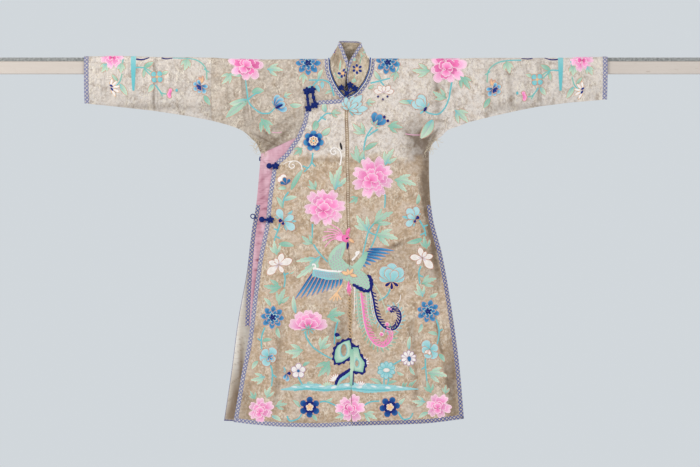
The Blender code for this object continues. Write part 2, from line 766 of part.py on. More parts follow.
def make_tube(name, path, radius, sides, colour):
    """A round cord along a path of points."""
    bm = bmesh.new()
    rings = []
    for k, point in enumerate(path):
        before = path[max(k - 1, 0)]
        after = path[min(k + 1, len(path) - 1)]
        along = np.array(after) - np.array(before)
        along = along / np.linalg.norm(along)
        aside = np.cross(along, (0.0, 1.0, 0.0) if abs(along[1]) < 0.8 else (1.0, 0.0, 0.0))
        aside = aside / np.linalg.norm(aside)
        up = np.cross(aside, along)
        ring = []
        for s in range(sides):
            turn = 2 * math.pi * s / sides
            place = point + radius * (math.cos(turn) * aside + math.sin(turn) * up)
            ring.append(bm.verts.new([v * MM for v in place]))
        rings.append(ring)
    for first, second in zip(rings, rings[1:]):
        shift = min(
            range(sides),
            key=lambda s: sum((first[k].co - second[(k + s) % sides].co).length for k in range(sides)),
        )
        second[:] = second[shift:] + second[:shift]
        for k in range(sides):
            n = (k + 1) % sides
            bm.faces.new((first[k], first[n], second[n], second[k]))
    bm.faces.new(rings[0])
    bm.faces.new(rings[-1])
    bmesh.ops.triangulate(bm, faces=bm.faces)
    return finish(name, bm, colour)


def make_collar():
    """The stand collar, one band round the neck, and the ribbon on its ends and top edge."""
    grid = []
    for section in COLLAR_SECTIONS:
        foot, middle, top = (np.array(section[k:k + 3]) for k in (0, 3, 6))
        line = []
        for v in COLLAR_HEIGHTS:
            a, b, c = (1 - v) * (1 - 2 * v), 4 * v * (1 - v), v * (2 * v - 1)
            line.append(a * foot + b * middle + c * top)
        grid.append(line)
    middle = np.array(grid)
    along = np.gradient(middle, axis=0)
    up = np.gradient(middle, axis=1)
    out = np.cross(along, up)
    out = out / np.linalg.norm(out, axis=2, keepdims=True)
    heart = np.array((7.0, 0.0, 20.0))
    if np.sum(out[10] * (middle[10] - heart)) < 0:
        out = -out
    half = COLLAR_WALL / 2
    cells = np.ones((len(grid) - 1, len(COLLAR_HEIGHTS) - 1), dtype=bool)
    wall("collar", middle + out * half, middle - out * half, cells, GOLD_CLOTH)
    ribbon = np.zeros_like(cells)
    ribbon[:, -1] = True
    ribbon[0, :] = True
    ribbon[-1, :] = True
    outer = middle + out * (half + SEAM + RIBBON)
    wall("collar_trim", outer, middle + out * (half + SEAM), ribbon, BLUE_RIBBON)


def knot(bm, x, z, radius, back):
    """A flower knot: a domed disc with a lobed rim."""
    levels = ((0.0, 0.88), (0.45, 1.0), (0.85, 0.72), (1.0, 0.3))
    rings = []
    for height, share in levels:
        ring = []
        for k in range(KNOT_SIDES):
            turn = 2 * math.pi * k / KNOT_SIDES
            lobed = radius * share * (0.8 + 0.2 * abs(math.cos(turn * KNOT_LOBES / 2)))
            place = (x + lobed * math.sin(turn), -(back + KNOT_HEIGHT * height), z + lobed * math.cos(turn))
            ring.append(bm.verts.new([v * MM for v in place]))
        rings.append(ring)
    for first, second in zip(rings, rings[1:]):
        for k in range(KNOT_SIDES):
            n = (k + 1) % KNOT_SIDES
            bm.faces.new((first[k], first[n], second[n], second[k]))
    bm.faces.new(rings[0])
    bm.faces.new(rings[-1])


def cord(bm, start, end, radius):
    """A short round cord between two points, with closed ends."""
    a, b = np.array(start), np.array(end)
    along = (b - a) / np.linalg.norm(b - a)
    aside = np.cross(along, (0.0, 1.0, 0.0))
    aside = aside / np.linalg.norm(aside)
    up = np.cross(aside, along)
    rings = []
    for point in (a, b):
        ring = []
        for k in range(8):
            turn = 2 * math.pi * (k + 0.5) / 8
            place = point + radius * (math.cos(turn) * aside + math.sin(turn) * up)
            ring.append(bm.verts.new([v * MM for v in place]))
        rings.append(ring)
    for k in range(8):
        n = (k + 1) % 8
        bm.faces.new((rings[0][k], rings[0][n], rings[1][n], rings[1][k]))
    bm.faces.new(rings[0])
    bm.faces.new(rings[1])


def joined(name, shapes):
    """Joins overlapping closed shapes into one body."""
    parts = []
    for k, shape in enumerate(shapes):
        bm = bmesh.new()
        shape(bm)
        bmesh.ops.recalc_face_normals(bm, faces=bm.faces)
        mesh = bpy.data.meshes.new(f"{name}_shape_{k}")
        bm.to_mesh(mesh)
        bm.free()
        part = bpy.data.objects.new(f"{name}_shape_{k}", mesh)
        bpy.context.collection.objects.link(part)
        parts.append(part)
    for other in parts[1:]:
        union = parts[0].modifiers.new("join", "BOOLEAN")
        union.operation = "UNION"
        union.object = other
    bpy.context.view_layer.update()
    evaluated = parts[0].evaluated_get(bpy.context.evaluated_depsgraph_get())
    bm = bmesh.new()
    bm.from_mesh(evaluated.to_mesh())
    bmesh.ops.remove_doubles(bm, verts=bm.verts, dist=0.00001)
    bmesh.ops.triangulate(bm, faces=bm.faces)
    for part in parts:
        bpy.data.objects.remove(part)
    return finish(name, bm, NAVY_CORD)


def make_fastening(name, knots, cords):
    """A knotted fastening from its knots (x, z, radius, back) and cords (x, z, back at both ends)."""
    shapes = [lambda bm, k=k: knot(bm, *k) for k in knots]
    for x0, z0, back0, x1, z1, back1 in cords:
        start = (x0, -(back0 + CORD_RADIUS), z0)
        end = (x1, -(back1 + CORD_RADIUS), z1)
        shapes.append(lambda bm, a=start, b=end: cord(bm, a, b, CORD_RADIUS))
    return joined(name, shapes)


def on_cloth(x, z, raised=0.0):
    """Distance of the outside of a front layer from the middle plane, with a seam's gap."""
    return half_depth(x, z) + raised + SEAM


def make_fastenings():
    """The navy knots at the neck, shoulder, underarm and side, and the ring at the vent."""
    over = CLOTH + LAYER_AIR + SEAM + RIBBON
    make_fastening(
        "fastening_neck",
        ((-16, -58, 7.5, 18.4), (9, -51, 8.0, 22.4), (22, -61, 8.5, 21.4), (-1, -76, 6.0, 22.4)),
        ((-16, -58, 19, -1, -76, 22.6), (9, -51, 22.6, -1, -76, 22.6), (22, -61, 22.0, -1, -76, 22.6)),
    )
    upper = on_cloth(-105, -60)
    lower = on_cloth(-105, -112, over + 0.2)
    make_fastening(
        "fastening_shoulder",
        (
            (-113, -66, 8.0, upper), (-95.5, -57, 8.0, upper),
            (-109.5, -115, 8.5, lower), (-92.5, -106, 8.5, lower),
        ),
        (
            (-113, -66, upper + 1, -109.5, -115, lower), (-95.5, -57, upper + 1, -92.5, -106, lower),
            (-113, -66, upper + 1, -95.5, -57, upper + 1), (-109.5, -115, lower, -92.5, -106, lower),
        ),
    )
    knot_back = on_cloth(-203, -280, over + 0.6)
    seam_back = on_cloth(-240, -268, 0.6)
    make_fastening(
        "fastening_underarm",
        ((-203, -280, 8.0, knot_back), (-221, -280, 6.0, knot_back)),
        ((-221, -280, knot_back, -203, -280, knot_back), (-246, -262, seam_back, -221, -280, knot_back)),
    )
    side_back = on_cloth(-222, -432, over + 0.4)
    make_fastening(
        "fastening_side",
        ((-217.5, -433, 8.0, side_back), (-242, -432, 6.0, side_back)),
        ((-242, -432, side_back, -217.5, -433, side_back),),
    )
    centre = np.array((-268.0, -on_cloth(-262, -422, SEAM + RIBBON + PIPING_RADIUS), -423.0))
    ring = []
    for k in range(15):
        turn = math.radians(200 + 320 * k / 14)
        ring.append(centre + 6.0 * np.array((math.cos(turn - 3.3), 0.0, math.sin(turn - 3.3))))
    make_tube("vent_ring", ring, 1.6, 6, NAVY_CORD)


def main():
    for item in list(bpy.data.objects):
        bpy.data.objects.remove(item)
    make_rod()
    make_felt()
    left_neck = make_left_front()
    make_overlap()
    right_neck = make_right_front()
    make_underlap()
    back_neck = make_back()
    make_sleeve("right", SLEEVE_SEAM_RIGHT, CUFF_RIGHT, RIGHT_SLEEVE_EDGE, -1)
    make_sleeve("left", SLEEVE_SEAM_LEFT, CUFF_LEFT, LEFT_SLEEVE_EDGE, 1)
    neck = list(reversed(right_neck)) + back_neck + left_neck
    make_tube("neck_piping", neck, PIPING_RADIUS, 6, NAVY_CORD)
    make_collar()
    make_fastenings()


main()
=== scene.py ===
"""Looks of a Chinese theatrical jacket of embroidered silk, hung flat on a padded wooden rod.

The rod's middle is the origin, +Z is up and the front faces -Y. Left and right are the
wearer's. Tables are in millimetres, and the finished meshes are in metres. A place on the
cloth is x and run: run is the height while the cloth hangs, and goes on over the shoulder
fold, so that it measures the flat cut.
"""
import math

import bpy
import numpy as np
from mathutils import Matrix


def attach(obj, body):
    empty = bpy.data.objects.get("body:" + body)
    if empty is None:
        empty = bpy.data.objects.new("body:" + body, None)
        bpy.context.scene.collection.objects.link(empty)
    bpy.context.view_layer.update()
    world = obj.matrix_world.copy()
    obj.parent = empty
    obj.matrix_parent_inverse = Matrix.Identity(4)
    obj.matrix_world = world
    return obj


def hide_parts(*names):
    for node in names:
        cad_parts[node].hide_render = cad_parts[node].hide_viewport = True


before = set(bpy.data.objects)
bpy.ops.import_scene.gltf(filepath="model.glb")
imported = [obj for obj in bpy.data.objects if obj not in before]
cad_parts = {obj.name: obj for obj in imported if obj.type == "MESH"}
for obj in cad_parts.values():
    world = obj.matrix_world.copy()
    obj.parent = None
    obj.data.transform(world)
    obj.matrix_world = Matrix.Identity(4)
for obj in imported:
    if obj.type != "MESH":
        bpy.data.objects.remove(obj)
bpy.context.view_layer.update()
MM = 0.001

# The picture: a pale floor below the hem, soft light from both sides and above, and a camera that
# looks straight at the front from five metres away.
PICTURE_WIDTH = 1.988
CAMERA_DISTANCE = 5.0
FRONT_SURFACE = -0.015
PICTURE_CENTRE_X = 0.0085
PICTURE_CENTRE_Z = -0.472
FLOOR_HEIGHT = -1.62
FLOOR_HALF = 3.0
BACKDROP = (0.640, 0.680, 0.712)
SURROUNDING_LIGHT = 0.62

camera = bpy.data.objects.new("camera", bpy.data.cameras.new("camera"))
bpy.context.collection.objects.link(camera)
camera.location = (PICTURE_CENTRE_X, FRONT_SURFACE - CAMERA_DISTANCE, PICTURE_CENTRE_Z)
camera.rotation_euler = (math.pi / 2, 0.0, 0.0)
camera.data.sensor_width = 36.0
camera.data.lens = camera.data.sensor_width * CAMERA_DISTANCE / PICTURE_WIDTH
camera.data.clip_end = 60.0
bpy.context.scene.camera = camera
bpy.context.scene.view_settings.view_transform = "Standard"


def soft_light(name, place, aim, size, power, colour):
    """A large square light that faces a point."""
    light = bpy.data.lights.new(name, "AREA")
    light.size = size
    light.energy = power
    light.color = colour
    made = bpy.data.objects.new(name, light)
    bpy.context.collection.objects.link(made)
    made.location = place
    facing = np.array(aim) - np.array(place)
    tilt = math.acos(-facing[2] / np.linalg.norm(facing))
    made.rotation_euler = (tilt, 0.0, math.atan2(facing[0], -facing[1]) + math.pi)


CHEST = (0.0, 0.0, -0.4)
soft_light("key", (-3.0, -2.6, 1.6), CHEST, 1.6, 78.0, (1.0, 0.98, 0.95))
soft_light("fill", (3.2, -3.4, 0.4), CHEST, 2.2, 42.0, (0.96, 0.98, 1.0))
soft_light("back_key", (2.6, 3.2, 1.4), CHEST, 2.2, 95.0, (1.0, 0.98, 0.96))
soft_light("back_fill", (-3.0, 3.0, 0.2), CHEST, 2.2, 45.0, (0.96, 0.98, 1.0))

world = bpy.data.worlds.new("studio")
bpy.context.scene.world = world
world.use_nodes = True


def fill(made, values):
    """Links or sets the inputs of a shader node."""
    for key, value in values.items():
        if isinstance(value, Value):
            made.id_data.links.new(value.socket, made.inputs[key])
        else:
            made.inputs[key].default_value = value


def node(tree, kind, inputs=None, output=0, **settings):
    """Adds a shader node with its settings and inputs, and gives one of its outputs."""
    made = tree.nodes.new(kind)
    for key, value in settings.items():
        setattr(made, key, value)
    fill(made, inputs or {})
    return Value(made.outputs[output])


class Value:
    """A value in a shader, which can be reckoned with like a number."""

    def __init__(self, socket):
        self.socket, self.tree = socket, socket.id_data

    def maths(self, operation, other=0.0):
        """A sum of this value and another."""
        return node(self.tree, "ShaderNodeMath", {0: self, 1: other}, operation=operation)

    def __add__(self, other):
        return self.maths("ADD", other)

    def __sub__(self, other):
        return self.maths("SUBTRACT", other)

    def __mul__(self, other):
        return self.maths("MULTIPLY", other)

    def __truediv__(self, other):
        return self.maths("DIVIDE", other)

    def __abs__(self):
        return self.maths("ABSOLUTE")

    def zigzag(self, height=0.5):
        """Up and down between nothing and a height."""
        return self.maths("PINGPONG", height)

    def part(self, index):
        """One number of a place."""
        return node(self.tree, "ShaderNodeSeparateXYZ", {0: self}, index)

    def cloudy(self, scale, detail=3.0, roughness=0.5, stretch=(1.0, 1.0, 1.0)):
        """Soft noise in a space that is measured in metres. Scale is waves for each metre."""
        where = node(self.tree, "ShaderNodeMapping", {"Vector": self, "Scale": stretch})
        look = {"Vector": where, "Scale": scale, "Detail": detail, "Roughness": roughness}
        return node(self.tree, "ShaderNodeTexNoise", look, "Fac")

    def ramp(self, low, high):
        """0 below one value, 1 above another, and smooth between them."""
        ends = {"Value": self, "From Min": low, "From Max": high}
        return node(self.tree, "ShaderNodeMapRange", ends, interpolation_type="SMOOTHSTEP")

    def between(self, first, second):
        """A colour that goes from one to another with this value."""
        return node(self.tree, "ShaderNodeMix", {0: self, 6: first, 7: second}, 2, data_type="RGBA")

    def dyed(self, other):
        """This colour multiplied by another."""
        both = {0: 1.0, 6: self, 7: other}
        return node(self.tree, "ShaderNodeMix", both, 2, data_type="RGBA", blend_type="MULTIPLY")


def coated(tone, *coats):
    """A colour under thin coats of others: the share of each, and its colour."""
    for share, other in coats:
        tone = share.between(tone, other)
    return tone


def surround(tree):
    """A pale backdrop for the eye, and a softer light of the same colour on the jacket."""
    tree.nodes.clear()
    seen = node(tree, "ShaderNodeBackground", {"Color": (*BACKDROP, 1.0), "Strength": 1.0})
    lit = node(
        tree, "ShaderNodeBackground", {"Color": (0.93, 0.95, 1.0, 1.0), "Strength": SURROUNDING_LIGHT},
    )
    to_camera = node(tree, "ShaderNodeLightPath", output="Is Camera Ray")
    both = node(tree, "ShaderNodeMixShader", {0: to_camera, 1: lit, 2: seen})
    fill(tree.nodes.new("ShaderNodeOutputWorld"), {"Surface": both})


surround(world.node_tree)


def link_mesh(name, points, faces, smooth=True):
    """A mesh object from points in millimetres."""
    mesh = bpy.data.meshes.new(name)
    mesh.from_pydata((np.asarray(points) * MM).tolist(), [], faces)
    if smooth:
        mesh.shade_smooth()
    made = bpy.data.objects.new(name, mesh)
    bpy.context.collection.objects.link(made)
    return made


floor_corner = FLOOR_HALF / MM
floor = link_mesh(
    "floor",
    [
        (x * floor_corner, y * floor_corner, FLOOR_HEIGHT / MM)
        for x, y in ((-1, -1), (1, -1), (1, 1), (-1, 1))
    ],
    [(0, 1, 2, 3)],
)


def new_material(name):
    """An empty material with its Principled shader."""
    material = bpy.data.materials.new(name)
    material.use_nodes = True
    return material, material.node_tree, material.node_tree.nodes["Principled BSDF"]


def surface(shader, tone, roughness, height, strength, distance, under=None):
    """Gives a shader its colour, roughness and relief. The relief may lie on a finer one."""
    relief = {"Strength": strength, "Distance": distance, "Height": height}
    if under:
        relief["Normal"] = under
    bump = node(shader.id_data, "ShaderNodeBump", relief)
    fill(shader, {"Base Color": tone, "Roughness": roughness, "Normal": bump})


def colour(red, green, blue):
    """A colour that is given as it looks on a screen, 0 to 255, as Blender keeps it."""
    parts = [part / 255 for part in (red, green, blue)]
    return tuple(part / 12.92 if part <= 0.04045 else ((part + 0.055) / 1.055) ** 2.4 for part in parts)


def opaque(*screen):
    """The same with full strength, for a shader socket."""
    return (*colour(*screen), 1.0)


def finish_floor():
    """Matt pale paper with a trace of unevenness."""
    material, tree, shader = new_material("studio_floor")
    where = node(tree, "ShaderNodeTexCoord", output="Object")
    tone = where.cloudy(1.3).between(opaque(205, 211, 217), opaque(212, 217, 222))
    fill(shader, {"Base Color": tone, "Roughness": 0.9})
    floor.data.materials.append(material)


finish_floor()

# The rod: a squared softwood batten, painted cream and a little pink with handling. Its corners are
# eased, and the paint is rubbed and scratched along the grain.
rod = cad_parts["rod"]


def finish_rod():
    """Old paint over straight grain."""
    material, tree, shader = new_material("painted_batten")
    where = node(tree, "ShaderNodeTexCoord", output="Object")
    grain = where.cloudy(240.0, 4.0, 0.6, (0.035, 1.0, 1.0))
    patches = where.cloudy(9.0, 4.0, 0.6, (0.4, 1.0, 1.0))
    scuffs = where.cloudy(130.0, 5.0, 0.7, (0.2, 1.0, 1.0)).ramp(0.62, 0.7)
    tone = coated(
        patches.between(opaque(226, 216, 204), opaque(206, 196, 184)),
        (grain * 0.35, opaque(196, 176, 164)), (scuffs * 0.5, opaque(172, 150, 134)),
    )
    surface(shader, tone, grain.ramp(-0.6, 1.2), grain - scuffs, 0.35, 0.0006)
    rod.data.materials.clear()
    rod.data.materials.append(material)


finish_rod()

# The felt: a loose grey strip along the top of the rod, which keeps the wood off the silk. It is
# mottled, and stays as the solid has it, pressed down under the cloth.
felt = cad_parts["rod_felt"]


def finish_felt():
    """Recycled grey felt with paler and darker hairs."""
    material, tree, shader = new_material("grey_felt")
    where = node(tree, "ShaderNodeTexCoord", output="Object")
    clumps = where.cloudy(150.0, 5.0, 0.7)
    hairs = where.cloudy(900.0, 3.0, 0.7, (0.4, 1.0, 1.0))
    tone = clumps.ramp(0.38, 0.64).between(opaque(118, 122, 120), opaque(182, 184, 180))
    tone = (hairs * 0.5).between(tone, opaque(150, 146, 140))
    surface(shader, tone, 0.95, clumps + hairs, 0.9, 0.0012)
    fill(shader, {"Sheen Weight": 0.3})
    felt.data.materials.clear()
    felt.data.materials.append(material)


finish_felt()

# The back: one width of silk, closely couched with pairs of gold-paper thread, cut with a notch
# for the neck. Its form is that of the whole jacket: thin at the seams and full inside.
SHELL = 1.2
SEAM = 0.3
LAYER_STEP = 3.2
HALF_DEPTH = 13.0
FOLD_RISE = 9.0
FOLD_RUN = 17.6
EDGE_ROUNDING = 75.0
CALM_BORDER = 30.0
VENT_TOP = -390.0
VENT_GAPE = 8.0
HEM_LEVEL = -1010.0
UNDERARM = -244.7
SLEEVE_SEAM_RIGHT = -386.0
SLEEVE_SEAM_LEFT = 391.5
NECK_RIGHT = -49.4
NECK_LEFT = 64.5
GRID_STEP = 4.4
FRONT = -1
BACK = 1

# The shoulder fold: x, z
SHOULDER_LINE = (
    (-748, 32.5), (-633, 33.5), (-548, 31.0), (-383, 29.0), (-338, 26.0), (-233, 23.8),
    (-148, 24.6), (-46, 25.0), (64, 26.0), (264, 26.0), (395, 28.5), (599, 28.5), (684, 30.5), (741, 32.0),
)

# Lower edge of each sleeve down to the underarm, then the side edge: z, x
RIGHT_SLEEVE_EDGE = (
    (-101.2, -747), (-110.6, -656), (-122.8, -548), (-137.3, -452), (-150.4, -386),
    (-164.9, -332), (-176.5, -303), (-186.4, -288), (-202.6, -271), (-217.1, -256.5),
    (-235.9, -249), (-244.7, -245),
)
RIGHT_SIDE_EDGE = (
    (-244.7, -245), (-390, -257), (-490, -274), (-575, -284), (-723, -310.5), (-868, -329.5),
    (-1006, -350.5),
)
LEFT_SLEEVE_EDGE = (
    (-89.9, 741), (-99.3, 633), (-110.0, 547), (-121.4, 489), (-137.3, 417), (-143.8, 391.5),
    (-155.5, 344.5), (-164.6, 322.5), (-176.8, 288), (-194.1, 270), (-212.0, 247), (-231.9, 236),
    (-244.7, 233.5),
)
LEFT_SIDE_EDGE = (
    (-244.7, 233.5), (-297, 233.5), (-362, 236), (-426, 243.5), (-533, 270.5), (-705, 300), (-862, 320.5),
    (-998.5, 332),
)
BACK_HEM = ((-350.5, -1006), (-250, -1010), (0, -1013), (200, -1008), (332, -998.5))

# Creases: both ends in x and z, half width, and how far they stand out. On the cloth each also darkens its
# line as painted shade.
BACK_CREASES = (
    (290, 0, 288, -150, 12, 3.0),
    (-545, 10, -548, -100, 12, 2.2),
    (540, 10, 545, -95, 12, 2.2),
    (-290, -5, -285, -140, 12, 2.4),
    (-215, -230, -120, -150, 13, 2.0),
    (205, -225, 120, -150, 13, 2.0),
    (-100, -560, 150, -545, 20, 1.6),
    (-130, -720, -150, -960, 26, 2.2),
    (120, -700, 150, -960, 26, 2.2),
    (-60, -300, 110, -285, 9, 0.9),
    (40, -860, 190, -840, 10, 0.9),
)


def smooth(table, at):
    """Reads a two-column table at many values, on a curve through its points."""
    rows = np.array(sorted(table), dtype=float)
    xs, ys = rows[:, 0], rows[:, 1]
    slopes = np.diff(ys) / np.diff(xs)
    tangents = np.concatenate([slopes[:1], np.zeros(len(xs) - 2), slopes[-1:]])
    same_way = slopes[:-1] * slopes[1:] > 0
    both = np.where(same_way, slopes[:-1] + slopes[1:], 1.0)
    tangents[1:-1] = np.where(same_way, 2 * slopes[:-1] * slopes[1:] / both, 0.0)
    at = np.clip(np.asarray(at, dtype=float), xs[0], xs[-1])
    i = np.clip(np.searchsorted(xs, at, side="right") - 1, 0, len(xs) - 2)
    step = xs[i + 1] - xs[i]
    t = (at - xs[i]) / step
    start = ys[i] * (1 + 2 * t) + tangents[i] * step * t
    end = ys[i + 1] * (3 - 2 * t) + tangents[i + 1] * step * (t - 1)
    return start * (1 - t) ** 2 + end * t**2


def straight(table, at):
    """Reads a two-column table at many values, on straight lines."""
    rows = sorted(table)
    return np.interp(at, [row[0] for row in rows], [row[1] for row in rows])


def curve(table):
    """A smooth line through a table, ready to be read."""
    return lambda at: smooth(table, at)


def flat_line(height):
    """A line that has one height everywhere."""
    return lambda x: np.full_like(x, height)


def flipped(table):
    """A table with its columns the other way round."""
    return [(second, first) for first, second in table]


def distance_to_line(x, z, ends):
    """Distance from points to a straight piece between two points."""
    ax, az, bx, bz = ends
    dx, dz = bx - ax, bz - az
    share = np.clip(((x - ax) * dx + (z - az) * dz) / (dx * dx + dz * dz), 0.0, 1.0)
    return np.hypot(x - ax - share * dx, z - az - share * dz)


OUTLINE = [
    (x0, z0, x1, z1)
    for table in (RIGHT_SLEEVE_EDGE, RIGHT_SIDE_EDGE, LEFT_SLEEVE_EDGE, LEFT_SIDE_EDGE)
    for (z0, x0), (z1, x1) in zip(table, table[1:])
]


def from_edge(x, z):
    """Distance from points to the nearest seam at the side or under a sleeve."""
    return np.min([distance_to_line(x, z, line) for line in OUTLINE], axis=0)


def crease_height(creases, x, z, near):
    """How far the creases move the cloth. They die away towards the seams."""
    total = np.zeros_like(x)
    for x0, z0, x1, z1, half_width, height in creases:
        away = distance_to_line(x, z, (x0, z0, x1, z1))
        total += height * np.exp(-((away / half_width) ** 2))
    return total * np.minimum(near / EDGE_ROUNDING, 1.0)


shoulder = curve(SHOULDER_LINE)


def below_fold(x):
    """Height at which the rounded fold ends and the cloth hangs straight."""
    return shoulder(x) - FOLD_RISE


def waviness(x, z):
    """The slight unevenness of cloth that is stiff with metal thread."""
    slow = np.sin(x / 31.0 + 1.3 * np.sin(z / 57.0)) * np.sin(z / 43.0 + 0.7)
    quick = np.sin(x / 11.0 + 2.0 * np.sin(z / 23.0)) * np.sin(z / 14.0 + x / 40.0)
    return 0.34 * slow + 0.16 * quick


def cloth_depth(side, creases, x, z, lift=0.0):
    """Distance of the outside of the cloth from the middle plane."""
    near = from_edge(x, z)
    gape = np.clip((VENT_TOP - z) / (VENT_TOP - HEM_LEVEL), 0.0, 1.0)
    at_edge = SEAM / 2 + SHELL + VENT_GAPE * gape
    fullness = np.sin(math.pi / 2 * np.minimum(near / EDGE_ROUNDING, 1.0))
    depth = at_edge + (HALF_DEPTH - at_edge) * fullness
    calm = np.minimum(near / CALM_BORDER, 1.0)
    return depth + crease_height(creases, x, z, near) + waviness(x * side, z) * calm + lift


def hang(side, creases, x, run, raised=0.0, lift=0.0):
    """Points on the cloth in space. Past the crest of the fold they go on down the other side."""
    x, run = np.broadcast_arrays(np.asarray(x, dtype=float), np.asarray(run, dtype=float))
    fold = below_fold(x)
    over = run > fold + FOLD_RUN
    way = np.where(over, -side, side)
    run = np.where(over, 2 * (fold + FOLD_RUN) - run, run)
    height = np.minimum(run, fold)
    turn = np.clip((run - fold) / FOLD_RUN, 0.0, 1.0) * math.pi / 2
    depth = cloth_depth(side, creases, x, height, lift)
    y = way * (np.maximum(depth * np.cos(turn), SEAM / 2) + raised * np.cos(turn))
    z = height + (FOLD_RISE + raised) * np.sin(turn)
    return np.stack([x, y, z], axis=-1)


def grid_between(top, bottom, left_edge, right_edge, across, down):
    """Even rows between two curves, each from one edge to the other: x and run of every point."""
    share = np.linspace(0.0, 1.0, down + 1)
    ends = []
    for edge in (left_edge, right_edge):
        x = np.zeros(down + 1)
        for _ in range(14):
            x = edge(top(x) + (bottom(x) - top(x)) * share)
        ends.append(x)
    t = np.linspace(0.0, 1.0, across + 1)
    x = ends[0][:, None] + (ends[1] - ends[0])[:, None] * t
    run = top(x) + (bottom(x) - top(x)) * share[:, None]
    return x, run


def over_fold(x, run, steps=8):
    """The same grid with the fold's rows above it, up to the crest."""
    climb = np.linspace(1.0, 0.0, steps + 1)[:-1, None] * FOLD_RUN
    top = below_fold(x[:1]) + climb
    return np.vstack([np.repeat(x[:1], steps, axis=0), x]), np.vstack([top, run])


def grid_faces(kept, start=0):
    """The four corner numbers of each square of a grid."""
    rows, across = kept.shape
    index = start + np.arange(rows + 1)[:, None] * (across + 1) + np.arange(across + 1)
    return (index[:-1, :-1], index[1:, :-1], index[1:, 1:], index[:-1, 1:])


def shell(name, outer, inner, cut, kept=None):
    """A thin closed wall of cloth between two grids of points. Its UVs are the flat cut in metres."""
    rows, columns = outer.shape[:2]
    count = rows * columns
    kept = np.ones((rows - 1, columns - 1), dtype=bool) if kept is None else kept
    corners = grid_faces(kept)
    faces = [
        np.stack([corner[kept] for corner in corners], axis=1),
        np.stack([corner[kept] + count for corner in corners[::-1]], axis=1),
    ]
    padded = np.pad(kept, 1)
    beyond = (padded[1:-1, :-2], padded[2:, 1:-1], padded[1:-1, 2:], padded[:-2, 1:-1])
    for k, neighbour in enumerate(beyond):
        rim = kept & ~neighbour
        a, b = corners[k][rim], corners[(k + 1) % 4][rim]
        faces.append(np.stack([a, a + count, b + count, b], axis=1))
    faces = np.concatenate(faces)
    points = np.concatenate([outer.reshape(-1, 3), inner.reshape(-1, 3)])
    a, b, c, d = (points[faces[:, k]] for k in range(4))
    if np.sum(np.cross(c - a, d - b) * (a + c)) < 0:
        faces = faces[:, ::-1]
    used = np.unique(faces)
    renumber = np.zeros(len(points), dtype=int)
    renumber[used] = np.arange(len(used))
    made = link_mesh(name, points[used], renumber[faces].tolist())
    flat = np.concatenate([cut.reshape(-1, 2)] * 2)[used] * MM
    lay_uvs(made, flat)
    made.data.set_sharp_from_angle(angle=math.radians(50))
    return made


def lay_uvs(made, flat):
    """UVs from one pair of values for each point."""
    layer = made.data.uv_layers.new(name="cut")
    corners = np.empty(len(made.data.loops), dtype=np.int32)
    made.data.loops.foreach_get("vertex_index", corners)
    layer.data.foreach_set("uv", flat[corners].ravel())


def painted_shade_and_wear(made, shade_and_wear_marks, creases=()):
    """Marks of wear and painted shade as a value on each point: x, run, half width, half height, strength.
    Each crease adds a line of painted shade along it.
    """
    layer = made.data.attributes.new("soil", "FLOAT", "POINT")
    places = np.empty(len(made.data.vertices) * 3)
    made.data.vertices.foreach_get("co", places)
    x, _, z = (places.reshape(-1, 3) / MM).T
    total = np.zeros(len(x))
    for mark_x, mark_z, wide, high, strength in shade_and_wear_marks:
        total += strength * np.exp(-(((x - mark_x) / wide) ** 2) - ((z - mark_z) / high) ** 2)
    # Painted shade: a dark line along the crest of every crease.
    for x0, z0, x1, z1, half_width, height in creases:
        away = distance_to_line(x, z, (x0, z0, x1, z1))
        total += min(0.24 * abs(height), 0.4) * np.exp(-((away / (half_width * 0.4)) ** 2))
    layer.data.foreach_set("value", np.clip(total, 0.0, 1.0))


def declare(made, nodes):
    """Hangs a piece of cloth on the root, and hides the solids that it stands for."""
    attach(made, "root")
    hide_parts(*nodes)


def panel(name, node_name, grid, side, creases, material, shade_and_wear_marks, rests, raised=0.0, lift=0.0, **choice):
    """A flat-cut piece of cloth, laid on its form, with marks of wear and painted shade. Its grid is x and
    run.
    """
    x, run = grid
    lay, kept = choice.get("lay", hang), choice.get("kept")
    outer, inner = (
        lay(side, creases, x, run, raised - wall, lift) for wall in (0.0, choice.get("wall", SHELL))
    )
    made = shell(name, outer, inner, np.stack([x, run], axis=-1), kept)
    made.data.materials.append(material)
    painted_shade_and_wear(made, shade_and_wear_marks, choice.get("wrinkles", creases))
    declare(made, [node_name])


def sleeve_then_side(seam, sleeve, side, inset):
    """The edge of a body panel: the sleeve seam, then under the arm, then down the side."""
    corner = float(straight(flipped(sleeve), seam))
    under_arm = [(corner, seam), *(row for row in sleeve if abs(row[1]) < abs(seam)), *side[1:]]
    limit = seam + inset

    def edge(z):
        """x of the edge at a height."""
        x = smooth(under_arm, z)
        x = np.maximum(x, limit) if inset > 0 else np.minimum(x, limit)
        return np.where(np.asarray(z) >= corner, limit, x)

    return edge


RIGHT_EDGE = sleeve_then_side(SLEEVE_SEAM_RIGHT, RIGHT_SLEEVE_EDGE, RIGHT_SIDE_EDGE, SEAM / 2)
LEFT_EDGE = sleeve_then_side(SLEEVE_SEAM_LEFT, LEFT_SLEEVE_EDGE, LEFT_SIDE_EDGE, -SEAM / 2)

underarm_level = flat_line(UNDERARM)
back_hem = curve(BACK_HEM)


def two_part_grid(top, middle, bottom, left_edge, right_edge, across, upper, lower):
    """A grid in two stretches, one above the other, that share a row."""
    x0, run0 = grid_between(top, middle, left_edge, right_edge, across, upper)
    x1, run1 = grid_between(middle, bottom, left_edge, right_edge, across, lower)
    return np.vstack([x0, x1[1:]]), np.vstack([run0, run1[1:]])


